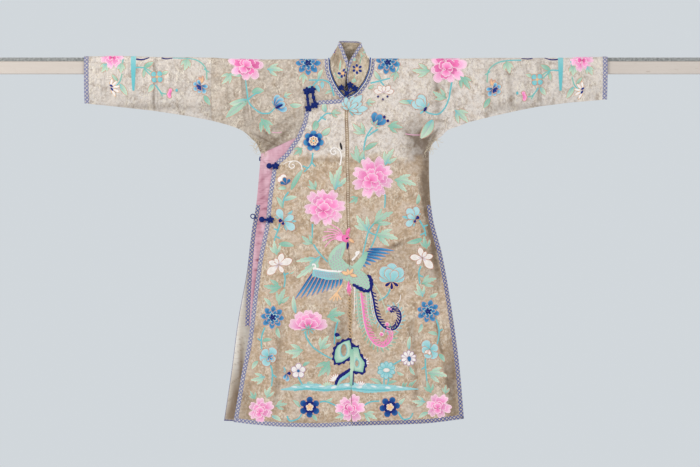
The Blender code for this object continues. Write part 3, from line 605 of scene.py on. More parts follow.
def group(name, inputs, outputs):
    """An empty shader node group. Its inputs are given by name with their usual values."""
    tree = bpy.data.node_groups.new(name, "ShaderNodeTree")
    for label, value in inputs.items():
        kind = "Vector" if value is None else "Float" if isinstance(value, float) else "Color"
        socket = tree.interface.new_socket(label, in_out="INPUT", socket_type="NodeSocket" + kind)
        if value is not None:
            socket.default_value = value
    for label in outputs:
        kind = "Color" if label == "Color" else "Float"
        tree.interface.new_socket(label, in_out="OUTPUT", socket_type="NodeSocket" + kind)
    sockets = tree.nodes.new("NodeGroupInput").outputs
    given = {socket.name: Value(socket) for socket in sockets if socket.name}
    return tree, given, tree.nodes.new("NodeGroupOutput")


def placed(tree, of_group, **values):
    """A node group placed in a material with its own values."""
    made = tree.nodes.new("ShaderNodeGroup")
    made.node_tree = of_group
    fill(made, {label.replace("_", " ").capitalize(): value for label, value in values.items()})
    return {socket.name: Value(socket) for socket in made.outputs}


def shade_and_wear_on(tree):
    """The marks of wear and painted shade on a piece of cloth."""
    return node(tree, "ShaderNodeAttribute", output="Fac", attribute_name="soil")


def make_couching():
    """Pairs of gold-paper thread laid in small curls and held by tiny stitches, worn in places."""
    tree, given, out = group("couched_metal_thread", {
        "Cut": None, "Pitch": 0.0013, "Gold": opaque(212, 184, 152), "Silver": opaque(243, 235, 226),
        "Bare silk": opaque(170, 144, 114), "Stitch": opaque(196, 150, 128),
        "Silver share": 0.5, "Soil": 0.0,
    }, ("Color", "Roughness", "Height"))
    cut = given["Cut"]
    along = cut.cloudy(52.0, 1.0, 0.4) / (given["Pitch"] * 48.0)
    thread = along.zigzag()
    odd = (along * 0.5).maths("FLOOR").maths("MODULO", 2.0) * 0.5
    stitch = ((cut.part(0) + cut.part(1)) / 0.0046 + odd).zigzag().ramp(0.1, 0.02)
    coarse = cut.cloudy(9.0, 4.0, 0.6)
    middling = cut.cloudy(55.0, 4.0, 0.65)
    worn = (middling * 0.7 + cut.cloudy(260.0, 3.0, 0.7) * 0.5).ramp(0.56, 0.78)
    speck = cut.cloudy(700.0, 2.0, 0.8)
    crumple_relief_and_light = cut.cloudy(130.0, 3.0, 0.7)
    broad = cut.cloudy(26.0, 3.0, 0.6)
    coats = [
        (worn * 0.62, given["Bare silk"]),
        # Painted highlight on the crumples' tops and painted shade in their hollows; the same noise raises
        # them in the relief.
        (crumple_relief_and_light.ramp(0.47, 0.68) * 0.55, opaque(254, 240, 222)),
        (crumple_relief_and_light.ramp(0.5, 0.34) * 0.4, opaque(150, 126, 98)),
        (broad.ramp(0.46, 0.66) * 0.38, opaque(246, 232, 216)),
        (broad.ramp(0.46, 0.3) * 0.42, opaque(158, 134, 108)),
        (speck.ramp(0.56, 0.72) * 0.3, opaque(118, 98, 78)),
        # Painted shade in the grooves between the couched threads.
        (thread.ramp(0.2, 0.0) * 0.3, opaque(140, 114, 86)),
    ]
    # Curling strands: the pale ones are painted highlights where the metal thread catches the light, the
    # others darker brown lines.
    for scale, level, strength, lit in (
        (64.0, 0.5, 0.5, opaque(255, 244, 222)), (80.0, 0.44, 0.34, opaque(132, 104, 76)),
    ):
        strand = abs(cut.cloudy(scale, 2.0, 0.6, (1.0, 0.55, 1.0)) - level).ramp(0.05, 0.015)
        coats.append((strand * (cut.cloudy(24.0, 2.0).ramp(0.42, 0.6) * strength), lit))
    # Painted shade and grime: the cloth darkens where its shade-and-wear value is high, along creases and in
    # shaded strips as well as in worn places.
    grime = (given["Soil"] * (middling + 0.45)).maths("MINIMUM", 0.9)
    coats += [(stitch * 0.35, given["Stitch"]), (grime, opaque(112, 92, 72))]
    silvery = (coarse + given["Silver share"]).ramp(0.8, 1.2)
    height = thread * 1.2 - stitch * 0.5 + crumple_relief_and_light * 3.0
    tone = coated(silvery.between(given["Gold"], given["Silver"]), *coats)
    fill(out, {"Color": tone, "Roughness": worn * 0.25 + 0.42, "Height": height})
    return tree


couched_thread = make_couching()
CHEST_SILVER = 0.72


def couched_cloth(name, silver_share=0.3, wrinkle=(1.0, 1.0, 1.0), **values):
    """Silk covered with couched metal thread, which has stayed more silvery on the chest."""
    material, tree, shader = new_material(name)
    cut = node(tree, "ShaderNodeUVMap", uv_map="cut")
    uneven = cut.cloudy(14.0, 3.0, 0.6) * 0.09 + cut.part(1)
    silvery = uneven.ramp(-0.225, -0.178) * CHEST_SILVER + silver_share
    look = placed(tree, couched_thread, cut=cut, soil=shade_and_wear_on(tree), silver_share=silvery, **values)
    fine = node(tree, "ShaderNodeBump", {"Strength": 0.55, "Distance": 0.0007, "Height": look["Height"]})
    surface(
        shader, look["Color"], look["Roughness"], cut.cloudy(58.0, 3.0, 0.6, wrinkle), 0.75, 0.006, fine,
    )
    fill(shader, {"Metallic": 0.22, "Specular IOR Level": 0.4})
    return material


gold_cloth = couched_cloth("gold_couched_silk")

BACK_MARKS = (
    (-235, -250, 60, 70, 0.5), (225, -250, 55, 70, 0.5), (0, -1000, 320, 22, 0.35),
    (60, -520, 150, 80, 0.15),
)

back_x, back_run = two_part_grid(
    below_fold, underarm_level, back_hem, RIGHT_EDGE, LEFT_EDGE,
    int(560 / GRID_STEP), int(262 / GRID_STEP), int(768 / GRID_STEP),
)
back_x, back_run = over_fold(back_x, back_run)
fold_cells = back_run[:-1, :-1] > below_fold(back_x[:-1, :-1]) + 0.01
middle_of_cell = (back_x[:-1, :-1] + back_x[:-1, 1:]) / 2
notch = fold_cells & (middle_of_cell > NECK_RIGHT) & (middle_of_cell < NECK_LEFT)
panel(
    "back_cloth", "back", (back_x, back_run), BACK, BACK_CREASES, gold_cloth, BACK_MARKS, ["rod_felt"],
    kept=~notch,
)

# The lining: cream silk inside the back, built where it shows past the right vent. It is sewn in a
# little slack, so it lies in soft folds down its length.
LINING_TOP = -560.0
LINING_WIDTH = 150.0
# Slanting wrinkles, drawn only as lines of painted shade: both ends in x and z, half width, strength
LINING_FOLD_SHADE = (
    (-312, -776, -288, -764, 2.6, 1.6), (-314, -793, -290, -784, 2.6, 1.8),
    (-318, -813, -294, -800, 2.6, 1.6), (-322, -846, -298, -836, 3.0, 1.4),
    (-330, -900, -304, -880, 3.4, 1.4), (-340, -950, -310, -928, 4.0, 1.6),
)


def make_fine_weave():
    """Plain silk seen close: fine threads both ways, with slubs and soft fading."""
    tree, given, out = group("fine_silk_weave", {
        "Cut": None, "Silk": opaque(212, 158, 172), "Faded": opaque(236, 196, 206), "Soil": 0.0,
        "Shaded": opaque(178, 116, 134), "Grime": opaque(146, 74, 94),
    }, ("Color", "Height"))
    patches = given["Cut"].cloudy(26.0, 4.0, 0.6, (1.0, 0.35, 1.0))
    slubs = given["Cut"].cloudy(420.0, 3.0, 0.6, (0.08, 1.0, 1.0))
    threads = given["Cut"].cloudy(1500.0, 2.0, 0.6, (1.0, 0.05, 1.0))
    # Painted shade and grime, from the cloth's shade-and-wear value.
    grime = (given["Soil"] * (patches + 0.45)).maths("MINIMUM", 0.95)
    tone = coated(
        patches.ramp(0.35, 0.68).between(given["Silk"], given["Faded"]),
        (slubs.ramp(0.5, 0.68) * 0.55, given["Shaded"]), (grime, given["Grime"]),
    )
    fill(out, {"Color": tone, "Height": slubs + threads})
    return tree


fine_weave = make_fine_weave()


def plain_silk(name, roughness, **values):
    """A plain silk with a soft sheen."""
    material, tree, shader = new_material(name)
    cut = node(tree, "ShaderNodeUVMap", uv_map="cut")
    look = placed(tree, fine_weave, cut=cut, soil=shade_and_wear_on(tree), **values)
    surface(shader, look["Color"], roughness, look["Height"], 0.4, 0.0005)
    fill(shader, {"Sheen Weight": 0.25})
    return material


# Its darkest colour is laid on the vent strip as painted shadow.
cream_silk = plain_silk(
    "cream_lining_silk", 0.6,
    silk=opaque(244, 234, 216), faded=opaque(252, 247, 238), shaded=opaque(212, 194, 168),
    grime=opaque(150, 124, 98),
)
# Painted shadow on the strip that shows past the vent, darkest by the overlap's edge and strongest low down:
# x, run, half width, half height, strength
LINING_SHADOW = (
    (-284, -700, 6, 90, 0.35), (-301, -850, 8, 110, 0.8), (-318, -950, 18, 90, 1.0),
    (-338, -1000, 30, 50, 0.7),
)

lining_x, lining_run = grid_between(
    flat_line(LINING_TOP), lambda x: back_hem(x) + 6.0,
    lambda z: RIGHT_EDGE(z) + 1.0, lambda z: RIGHT_EDGE(z) + LINING_WIDTH, 44, 110,
)
slack = 0.5 * np.sin((lining_x - RIGHT_EDGE(lining_run)) / 7.0 + lining_run / 90.0)
panel(
    "vent_lining_silk", "vent_lining", (lining_x, lining_run), BACK, BACK_CREASES, cream_silk, LINING_SHADOW,
    ["back_cloth"], -SHELL - 0.9 + 0.35 * slack, wall=0.5, wrinkles=LINING_FOLD_SHADE,
)

# The upper right front: the same couched silk, from the sleeve seam to the middle, down to a
# slanting seam. The overlap covers its inner half, so its creases fade out there.
NECK_BOTTOM = -82.5
UNDERLAP_SEAM_RISE = 0.45

# Neck curve on each side: z, x
NECK_RIGHT_CURVE = (
    (25.0, -49.4), (-1.0, -47.7), (-28.8, -40.0), (-53.0, -27.8), (-74.0, -12.5), (-82.5, -2.0),
)
NECK_LEFT_CURVE = (
    (26.0, 64.5), (2.0, 63.0), (-31.7, 52.3), (-55.8, 36.9), (-74.8, 18.5), (-82.5, 0.0),
)
CENTRE_SEAM = ((-82.5, -2.0), (-1025.0, 14.0))

# The overlapping front: its top edge (x, z), then its closing edge (z, x)
OVERLAP_TOP = ((-105.0, -105.5), (-83.0, -95.6), (-34.0, -91.9), (0.0, -88.5))
OVERLAP_EDGE = (
    (-105.5, -105), (-120, -117), (-151.8, -123), (-180.8, -134.5), (-204, -146.5), (-224, -160.5),
    (-244.7, -175), (-263, -195.5), (-282, -210), (-303, -213), (-368, -223), (-442, -230.5),
    (-543, -250), (-668, -267), (-772, -279.5), (-876, -300), (-939, -310.5), (-1007, -322),
)
FRONT_HEM = (
    (-322, -1007), (-267, -1013.5), (-173, -1020.5), (-78, -1022), (9, -1018), (207, -1012), (332, -998.5),
)
# Creases of the front: both ends in x and z, half width, and how far they stand out. On the cloth each also
# darkens its line as painted shade.
FRONT_CREASES = (
    (-301, -30, -288, -168, 4.6, 2.6),
    (-291, -25, -277, -162, 4.0, -2.0),
    (-283, -40, -268, -150, 4.6, 2.0),
    (-262, -60, -240, -150, 8, 1.0),
    (-345, -20, -335, -140, 9, 1.2),
    (-150, -130, -235, -190, 7, 1.4),
    (-262, -190, -180, -232, 6, 1.6),
    (-140, -640, -40, -585, 9, 1.3),
    (-70, -780, -10, -700, 8, 1.6),
    (30, -560, 150, -500, 9, 1.6),
    (-118, -540, 10, -530, 7, 1.1),
    (-20, -258, 110, -254, 5, 0.9),
    (300, -60, 310, -130, 9, 1.4),
    (-547, 24, -549, -118, 5, 1.7),
    (-540, 20, -538, -112, 4, -1.1),
    (-470, 15, -486, -70, 8, 1.1),
    (549, 24, 552, -104, 6, 1.9),
    (562, 14, 541, -96, 4, 1.2),
    (508, 10, 522, -96, 8, 1.2),
    (-596, 16, -604, -84, 7, 0.9),
    (268, -150, 240, -215, 7, 1.5),
    (-548, 10, -552, -100, 12, 2.0),
    (541, 10, 545, -95, 11, 2.6),
    (455, 5, 470, -105, 18, 1.6),
    (250, -10, 262, -150, 16, 2.2),
    (-230, -235, -150, -160, 12, 2.0),
    (215, -225, 130, -150, 13, 2.2),
    (-120, -262, 150, -268, 16, 1.4),
    (60, -530, 185, -490, 20, 1.5),
    (-150, -545, 60, -552, 18, 1.4),
    (215, -300, 262, -620, 20, 2.2),
    (-190, -700, -205, -960, 24, 2.4),
    (180, -720, 200, -960, 26, 2.0),
    (-205, -205, -262, -160, 8, 1.2),
    (-190, -225, -170, -150, 7, 0.9),
    (226, -205, 262, -172, 8, 1.3),
    (190, -225, 215, -170, 7, 1.0),
    (205, -330, 236, -480, 9, -1.3),
    (-60, -300, 20, -292, 7, 0.7),
    (250, -700, 292, -930, 12, 1.6),
    (236, -640, 270, -820, 10, -1.4),
    (-500, 0, -512, -105, 8, 0.9),
    (-455, 8, -462, -100, 7, 0.7),
    (-620, 12, -628, -95, 8, 0.7),
    (-690, 10, -686, -90, 8, 0.6),
    (-518, -5, -530, -90, 6, -0.9),
    (500, 8, 512, -95, 8, 0.9),
    (600, 5, 612, -85, 7, 0.8),
    (668, 8, 676, -80, 8, 0.7),
    (424, 8, 436, -118, 9, 0.9),
)
# Painted shade along the shoulder fold, and darker patches under the arm, on the upper right front: x, run,
# half width, half height, strength
RIGHT_SHADE_AND_WEAR = ((-235, -215, 48, 32, 0.6), (-292, -110, 10, 60, 0.3), (-200, -170, 60, 30, 0.2))


def centre_seam(z):
    """x of the seam down the middle of the front."""
    return straight(CENTRE_SEAM, z)


def neck_then_seam(neck_curve, offset):
    """The neck curve, then the straight seam down the front."""

    def edge(z):
        """x of the edge at a height."""
        return np.where(np.asarray(z) > NECK_BOTTOM, smooth(neck_curve, z), centre_seam(z) + offset)

    return edge


def underlap_seam(x):
    """The slanting seam between the upper right front and the pink underlap."""
    return UNDERARM + UNDERLAP_SEAM_RISE * np.maximum(0.0, x + 245.0)


overlap_top = curve(OVERLAP_TOP)
overlap_edge = curve(OVERLAP_EDGE)
front_hem = curve(FRONT_HEM)


def covered(x, run):
    """How far inside the overlap's edge a point of a lower layer lies, in millimetres."""
    inside = np.minimum(x - overlap_edge(run), overlap_top(x) - run)
    return np.clip(inside, 0.0, None)


def tucked(side, creases, x, run, raised, lift=0.0):
    """A lower layer: it follows the creases where it shows, and lies plain under the overlap."""
    share = np.exp(-covered(x, run) / 8.0)[..., None]
    showing = hang(side, creases, x, run, raised, lift)
    plain = hang(side, (), x, run, raised, lift)
    return showing * share + plain * (1 - share)


right_x, right_run = grid_between(
    below_fold, underlap_seam, RIGHT_EDGE, neck_then_seam(NECK_RIGHT_CURVE, -SEAM / 2), 84, 56,
)
duller_cloth = couched_cloth(
    "duller_couched_silk", silver=opaque(206, 194, 178), gold=opaque(196, 172, 142), silver_share=0.2,
)
panel(
    "front_right_cloth", "front_right", over_fold(right_x, right_run), FRONT, FRONT_CREASES, duller_cloth,
    RIGHT_SHADE_AND_WEAR, ["rod_felt", "rod"], lay=tucked,
)

# The underlap: plain pink silk below the slanting seam, shorter than the outer front. It is cut a
# little long for its place, so small tucks run across its edge.
UNDERLAP_EDGE = ((-244.7, -245), (-390, -258.5), (-467, -271), (-575, -281), (-735, -289))
UNDERLAP_HEM = -735.0
UNDERLAP_INNER = -34.0

# Small tucks of the strip that shows: z, half height, rise, and slant
UNDERLAP_TUCKS = (
    (-366, 5.0, 1.2, 0.5), (-384, 4.0, 1.0, 0.7), (-402, 4.5, 1.3, 0.6), (-436, 3.5, 0.9, 0.1),
    (-470, 3.0, 1.1, 0.1), (-492, 3.0, 0.8, 0.0), (-520, 3.0, 1.0, 0.05), (-553, 3.5, 1.1, 0.1),
    (-300, 7.0, 0.8, 0.6), (-335, 6.0, 0.9, 0.4),
)
# Slanting folds of the strip: both ends in x and z, half width, and how far they stand out. Each also
# darkens its line as painted shade.
UNDERLAP_FOLDS = (
    (-256, -332, -214, -298, 5.5, -1.6), (-250, -356, -218, -334, 5.0, -1.7),
    (-256, -380, -222, -358, 5.0, -2.2), (-254, -394, -226, -376, 4.6, -2.2),
    (-258, -412, -232, -399, 4.4, -2.2), (-240, -264, -212, -294, 6.0, -1.4),
    (-262, -447, -240, -440, 4.4, -1.8), (-266, -507, -246, -500, 4.0, -1.8),
    (-268, -610, -256, -606, 4.0, -1.6), (-246, -320, -226, -300, 5.0, 1.0),
    (-252, -368, -228, -350, 4.4, 0.9),
)
# Painted shade of the underlap: short lines under the tucks and streaks down the strip that shows: x, run,
# half width, half height, strength
UNDERLAP_SHADE = (
    (-252, -548, 9, 3.5, 1.0), (-256, -576, 9, 3.0, 1.0), (-246, -470, 8, 5, 0.6), (-228, -402, 16, 4, 0.7),
    (-232, -436, 12, 3, 0.8), (-236, -372, 14, 4, 0.5), (-240, -330, 8, 60, 0.35), (-254, -520, 7, 40, 0.4),
    (-262, -640, 6, 60, 0.6), (-252, -440, 7, 40, 0.3),
)


def underlap_tucks(x, run):
    """Height of the tucks at each point."""
    total = np.zeros_like(x)
    for level, half, rise, slant in UNDERLAP_TUCKS:
        away = run - level - slant * (x + 240.0)
        total += rise * np.exp(-((away / half) ** 2))
    from_ribbon = np.clip((x - smooth(UNDERLAP_EDGE, run) - 13.0) / 9.0, 0.0, 1.0)
    return total * np.exp(-covered(x, run) / 6.0) * from_ribbon


under_x, under_run = grid_between(
    lambda x: underlap_seam(x) - SEAM, flat_line(UNDERLAP_HEM), curve(UNDERLAP_EDGE),
    flat_line(UNDERLAP_INNER), 62, 130,
)
panel(
    "underlap_silk", "underlap", (under_x, under_run), FRONT, UNDERLAP_FOLDS,
    plain_silk("pink_underlap_silk", 0.5), UNDERLAP_SHADE, ["front_right_cloth"],
    underlap_tucks(under_x, under_run) * 1.2, wall=SHELL * 0.7,
)

# The left front: couched silk from the middle seam to the sleeve seam. Near the middle it rises to
# meet the overlap, which is sewn to it there.


def centre_lift(x):
    """How far the left front rises near the middle."""
    share = np.clip((x - 20.0) / 150.0, 0.0, 1.0)
    return LAYER_STEP * (1 - share * share * (3 - 2 * share))


left_x, left_run = two_part_grid(
    below_fold, underarm_level, front_hem, neck_then_seam(NECK_LEFT_CURVE, SEAM / 2), LEFT_EDGE,
    84, 60, 176,
)
left_x, left_run = over_fold(left_x, left_run)
# Painted shade down the side, where the cloth rounds away, and by the shoulder crease; darker patches under
# the arm, at the hem and on the body: x, run, half width, half height, strength
LEFT_SHADE_AND_WEAR = (
    (205, -205, 40, 60, 0.75), (228, -330, 22, 120, 0.8), (245, -520, 26, 90, 0.6),
    (300, -880, 22, 120, 0.75), (255, -60, 20, 60, 0.35), (330, -985, 60, 30, 0.4),
    (165, -540, 70, 40, 0.2),
)
panel(
    "front_left_cloth", "front_left", (left_x, left_run), FRONT, FRONT_CREASES, gold_cloth, LEFT_SHADE_AND_WEAR,
    ["rod_felt", "rod"], lift=centre_lift(left_x),
)

# The overlap: the large front flap of couched silk, sewn to the left front down the middle and
# closing on the wearer's right. It lies on the upper right front and the underlap.
TURN_LEVEL = -303.0
OVERLAP_MARKS = ((-285, -960, 30, 60, 0.4), (-20, -760, 26, 60, 0.5), (-120, -1012, 200, 14, 0.3))

flap = two_part_grid(
    overlap_top, flat_line(TURN_LEVEL), front_hem, overlap_edge, lambda z: centre_seam(z) - SEAM / 2,
    70, 50, 165,
)
panel(
    "front_overlap_cloth", "front_overlap", flap, FRONT, FRONT_CREASES, gold_cloth, OVERLAP_MARKS,
    ["front_right_cloth", "underlap_silk"], lift=LAYER_STEP,
)

# The sleeves: paler, more silvery couched silk, pieced on at the elbow. Each is one tube, folded at
# the shoulder line and sewn along its lower edge, with many small upright wrinkles.
CUFF_RIGHT = -747.0
CUFF_LEFT = 740.0

pale_cloth = couched_cloth(
    "pale_sleeve_silk", 0.62, (1.0, 0.28, 1.0), gold=opaque(220, 206, 186), silver=opaque(232, 224, 215),
    bare_silk=opaque(176, 160, 142), stitch=opaque(200, 174, 158),
)


def sleeve_rows(x, lower, steps):
    """Run of each row of one face, from the lower edge up to the crest."""
    share = np.linspace(0.0, 1.0, steps + 1)[:, None]
    hanging = lower + (below_fold(x) - lower) * share
    climb = below_fold(x) + FOLD_RUN * np.linspace(0.0, 1.0, 9)[1:, None]
    return np.vstack([hanging, climb])


def make_sleeve(name, nodes, seam, cuff, table):
    """A sleeve as one folded sheet, from its lower edge over the shoulder and down the back."""
    x = np.linspace(min(seam, cuff), max(seam, cuff), 110)[None, :]
    rows = sleeve_rows(x, straight(flipped(table), x), 34)
    levels = []
    for raised in (0.0, -SHELL):
        front = hang(FRONT, FRONT_CREASES, x, rows, raised)
        rear = hang(BACK, BACK_CREASES, x, rows, raised)[::-1]
        crest = (front[-1:] + rear[:1]) / 2
        levels.append(np.concatenate([front[:-1], crest, rear[1:]]))
    far_rows = 2 * (below_fold(x) + FOLD_RUN) - rows[::-1]
    x, run = np.broadcast_arrays(x, np.vstack([rows, far_rows[1:]]))
    made = shell(name, *levels, np.stack([x, run], axis=-1))
    made.data.materials.append(pale_cloth)
    # Darker along the sleeve seam and in a band just above the lower edge, with painted shade along the
    # front's creases.
    painted_shade_and_wear(made, ((seam, -90, 12, 60, 0.35), ((seam + cuff) / 2, -112, 200, 9, 0.4)), FRONT_CREASES)
    declare(made, nodes)


make_sleeve(
    "sleeve_right_cloth", ["sleeve_right_front", "sleeve_right_back"],
    SLEEVE_SEAM_RIGHT - SEAM / 2, CUFF_RIGHT, RIGHT_SLEEVE_EDGE,
)
make_sleeve(
    "sleeve_left_cloth", ["sleeve_left_front", "sleeve_left_back"],
    SLEEVE_SEAM_LEFT + SEAM / 2, CUFF_LEFT, LEFT_SLEEVE_EDGE,
)

# The stand collar: one soft band of couched silk, sewn round the neck and crumpled by wear. Its
# front ends meet low in the V, and its back stands up behind the rod.
COLLAR_HALF_WALL = 1.2
COLLAR_LENGTH = 330.0
COLLAR_TALL = 62.0

# From the right front end round the back to the left front end: foot, middle and top, each x, y, z
COLLAR_SECTIONS = (
    ((-5, -12, -77.5), (-5.5, -15, -54), (-4.5, -17, -30)),
    ((-11, -12, -72.5), (-6.5, -16, -40), (0.5, -17.5, -8)),
    ((-25.5, -12, -51.5), (-12.5, -16, -22), (4, -17, 15)),
    ((-37.5, -12, -28), (-22, -15, 2), (-3, -14, 34)),
    ((-45.3, -12, -2), (-31, -13, 26), (-10.5, -10, 54)),
    ((-47, -12.3, 13), (-35.5, -9.5, 38), (-16.5, -6, 67)),
    ((-47, -8.2, 24.5), (-34.5, -5, 44.5), (-20.5, -2.5, 72.5)),
    ((-46.5, 0.5, 28), (-32, 1, 47.5), (-21, 1.5, 75.5)),
    ((-46, 7.5, 25), (-28, 6.5, 49), (-17, 6, 77)),
    ((-38, 12, 18.5), (-20, 10, 48.5), (-8, 8.5, 77.5)),
    ((7.5, 12, 18.5), (7.5, 12, 48), (8, 10, 77)),
    ((53, 12, 18.5), (38, 10, 47.5), (25, 8.5, 76.5)),
    ((61, 7.5, 26), (46, 6, 48), (33.5, 5.5, 75)),
    ((61.8, 0.5, 29), (49, 0, 46.5), (38.5, 1, 71.5)),
    ((62, -7, 25.5), (50, -6, 43), (38.5, -3.5, 68)),
    ((62, -13, 13), (48, -11.5, 36), (32, -8.5, 60)),
    ((60.5, -14.5, -1), (42, -15.5, 24), (23, -14, 44)),
    ((50, -15, -31), (31, -18.5, 1), (12.5, -19, 28)),
    ((34.5, -15.2, -54.5), (19.5, -20, -22), (5.5, -21.5, 12)),
    ((16, -15.2, -73), (8, -19.5, -42), (1.5, -21.5, -12)),
    ((5.5, -15.2, -77.5), (2.5, -18.5, -54), (-1, -21, -32)),
)


def unit(directions):
    """The same directions, each one long."""
    return directions / np.linalg.norm(directions, axis=-1, keepdims=True)


def through(points, at):
    """A smooth line through points, read at places numbered along them."""
    points = np.asarray(points, dtype=float)
    at = np.clip(np.asarray(at, dtype=float), 0.0, len(points) - 1.0)
    i = np.minimum(at.astype(int), len(points) - 2)
    t = (at - i).reshape(at.shape + (1,) * (points.ndim - 1))
    a, b = points[i], points[i + 1]
    start = (b - points[np.maximum(i - 1, 0)]) / 2
    end = (points[np.minimum(i + 2, len(points) - 1)] - a) / 2
    curved = a * (1 + 2 * t) * (1 - t) ** 2 + start * t * (1 - t) ** 2
    return curved + b * t**2 * (3 - 2 * t) + end * t**2 * (t - 1)


def collar_place(along, up):
    """A point in the middle of the collar's wall. Along and up go from 0 to 1."""
    sections = through(COLLAR_SECTIONS, along * (len(COLLAR_SECTIONS) - 1))
    foot, middle, top = (sections[..., k, :] for k in range(3))
    v = up[..., None]
    return foot * (1 - v) * (1 - 2 * v) + middle * 4 * v * (1 - v) + top * v * (2 * v - 1)


def on_collar(along, up, out):
    """A point on the collar, out from the middle of its wall, with the ripples of soft cloth."""
    along, up, out = np.broadcast_arrays(*(np.asarray(v, dtype=float) for v in (along, up, out)))
    step = 0.004
    side = collar_place(np.clip(along + step, 0, 1), up) - collar_place(np.clip(along - step, 0, 1), up)
    rise = collar_place(along, np.clip(up + step, 0, 1)) - collar_place(along, np.clip(up - step, 0, 1))
    ends = np.clip(np.minimum(along, 1 - along) / 0.06, 0, 1)
    ripple = np.sin(along * 95 + 4 * np.sin(up * 5)) * 0.7 + np.sin(along * 41 + 2.0 + 3 * up) * 0.8
    ripple = ripple * ends * np.sin(np.clip(up, 0, 1) * math.pi * 0.75 + 0.1)
    return collar_place(along, up) + unit(np.cross(rise, side)) * (out + ripple)[..., None]


collar_along, collar_up = np.meshgrid(np.linspace(0, 1, 181), np.linspace(0, 1, 29))
collar_levels = (on_collar(collar_along, collar_up, out) for out in (COLLAR_HALF_WALL, -COLLAR_HALF_WALL))
collar = shell(
    "collar_cloth", *collar_levels,
    np.stack([collar_along * COLLAR_LENGTH, collar_up * COLLAR_TALL], axis=-1),
)
collar.data.materials.append(couched_cloth(
    "collar_couched_silk", 0.45, gold=opaque(178, 150, 112), silver=opaque(214, 196, 166),
    bare_silk=opaque(108, 86, 60), stitch=opaque(150, 116, 84),
))
# Painted shade deep in the V where the collar's ends meet, and darker patches on its back.
painted_shade_and_wear(
    collar,
    ((-12, 45, 30, 34, 0.4), (24, 30, 14, 30, 0.5), (-34, 20, 10, 30, 0.5), (0, -60, 16, 26, 0.9)),
)
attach(collar, "root")
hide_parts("collar")

# The ribbon: woven blue silk with a lattice on a cream ground, sewn flat over every raw edge and
# turned to the inside. Round the neck it lies next to the piping.
RIBBON_WIDTH = 11.6
HEM_RIBBON_WIDTH = 12.8
RIBBON_STEP = 3.0
DEEPER_BLUE_BELOW = -350.0
TURNED_IN = 3.5


def along_path(path):
    """Distance of every point from the path's start."""
    return np.concatenate([[0.0], np.cumsum(np.linalg.norm(np.diff(path, axis=0), axis=1))])


def even_path(*legs, step=RIBBON_STEP):
    """Evenly spaced points along lines that follow each other, with every meeting point kept."""
    found = []
    for leg in legs:
        leg = np.asarray(leg, dtype=float)
        lengths = along_path(leg)
        at = np.linspace(0.0, lengths[-1], max(int(round(lengths[-1] / step)), 1) + 1)
        points = np.stack([np.interp(at, lengths, column) for column in leg.T], axis=1)
        found.append(points[1:] if found else points)
    return np.concatenate(found)


def aside(path):
    """Directions to the left of a flat path, longer where it turns a corner."""
    ahead = unit(np.diff(path, axis=0))
    before = np.vstack([ahead[:1], ahead])
    middle = unit(before + np.vstack([ahead, ahead[-1:]]))
    stretch = 1 / np.clip(np.sum(middle * before, axis=1), 0.6, 1.0)
    return np.stack([-middle[:, 1], middle[:, 0]], axis=1) * stretch[:, None]


def edge_profile(width, wall=SHELL):
    """Ribbon turned over an edge: distance inwards, outer and inner height above the cloth."""
    return np.array((
        (width, 0.08, 0.0), (width - 0.6, 0.5, 0.05), (width * 0.55, 0.68, 0.05), (1.0, 0.58, 0.05),
        (-0.3, 0.3, 0.05), (-0.45, -wall * 0.65, -wall * 0.65), (0.3, -wall - 0.14, -wall - 0.03),
        (TURNED_IN, -wall - 0.14, -wall - 0.03),
    ))


def flat_profile(start, end):
    """Ribbon laid flat on the cloth, away from its edge."""
    return np.array((
        (end, 0.06, 0.0), (end - 0.6, 0.5, 0.04), ((start + end) / 2, 0.66, 0.04),
        (start + 0.5, 0.5, 0.04), (start, 0.06, 0.0),
    ))


def laid_area(points):
    """Area of a grid of points in space, in square metres."""
    first, second = points[1:, 1:] - points[:-1, :-1], points[:-1, 1:] - points[1:, :-1]
    return float(np.linalg.norm(np.cross(first, second), axis=-1).sum() / 2) * MM * MM


def sewn(name, node_name, levels, across, length, material, area=None):
    """A ribbon between two grids of points, sewn to its cloth."""
    made = shell(name, *levels, np.stack(np.meshgrid(length, across, indexing="ij"), axis=-1))
    made.data.materials.append(material)
    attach(made, "root")
    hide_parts(node_name)
    flat = (across[-1] * MM, length[-1] * MM)
    area = min(area, flat[0] * flat[1]) if area else None


def ribbon(name, node_name, path, profile, lay):
    """Ribbon along a path on the cloth. The inner side is to the left of the path."""
    left = aside(path)
    x, run = (path[:, k, None] + left[:, k, None] * profile[:, 0] for k in (0, 1))
    outer, inner = (lay(x, run, profile[None, :, k]) for k in (1, 2))
    silk = hem_silk if max(path[:, 1]) < DEEPER_BLUE_BELOW else ribbon_silk
    across, length = along_path(profile[:, :2]), along_path(outer[:, 2])
    sewn(name, node_name, (outer, inner), across, length, silk, laid_area(outer))


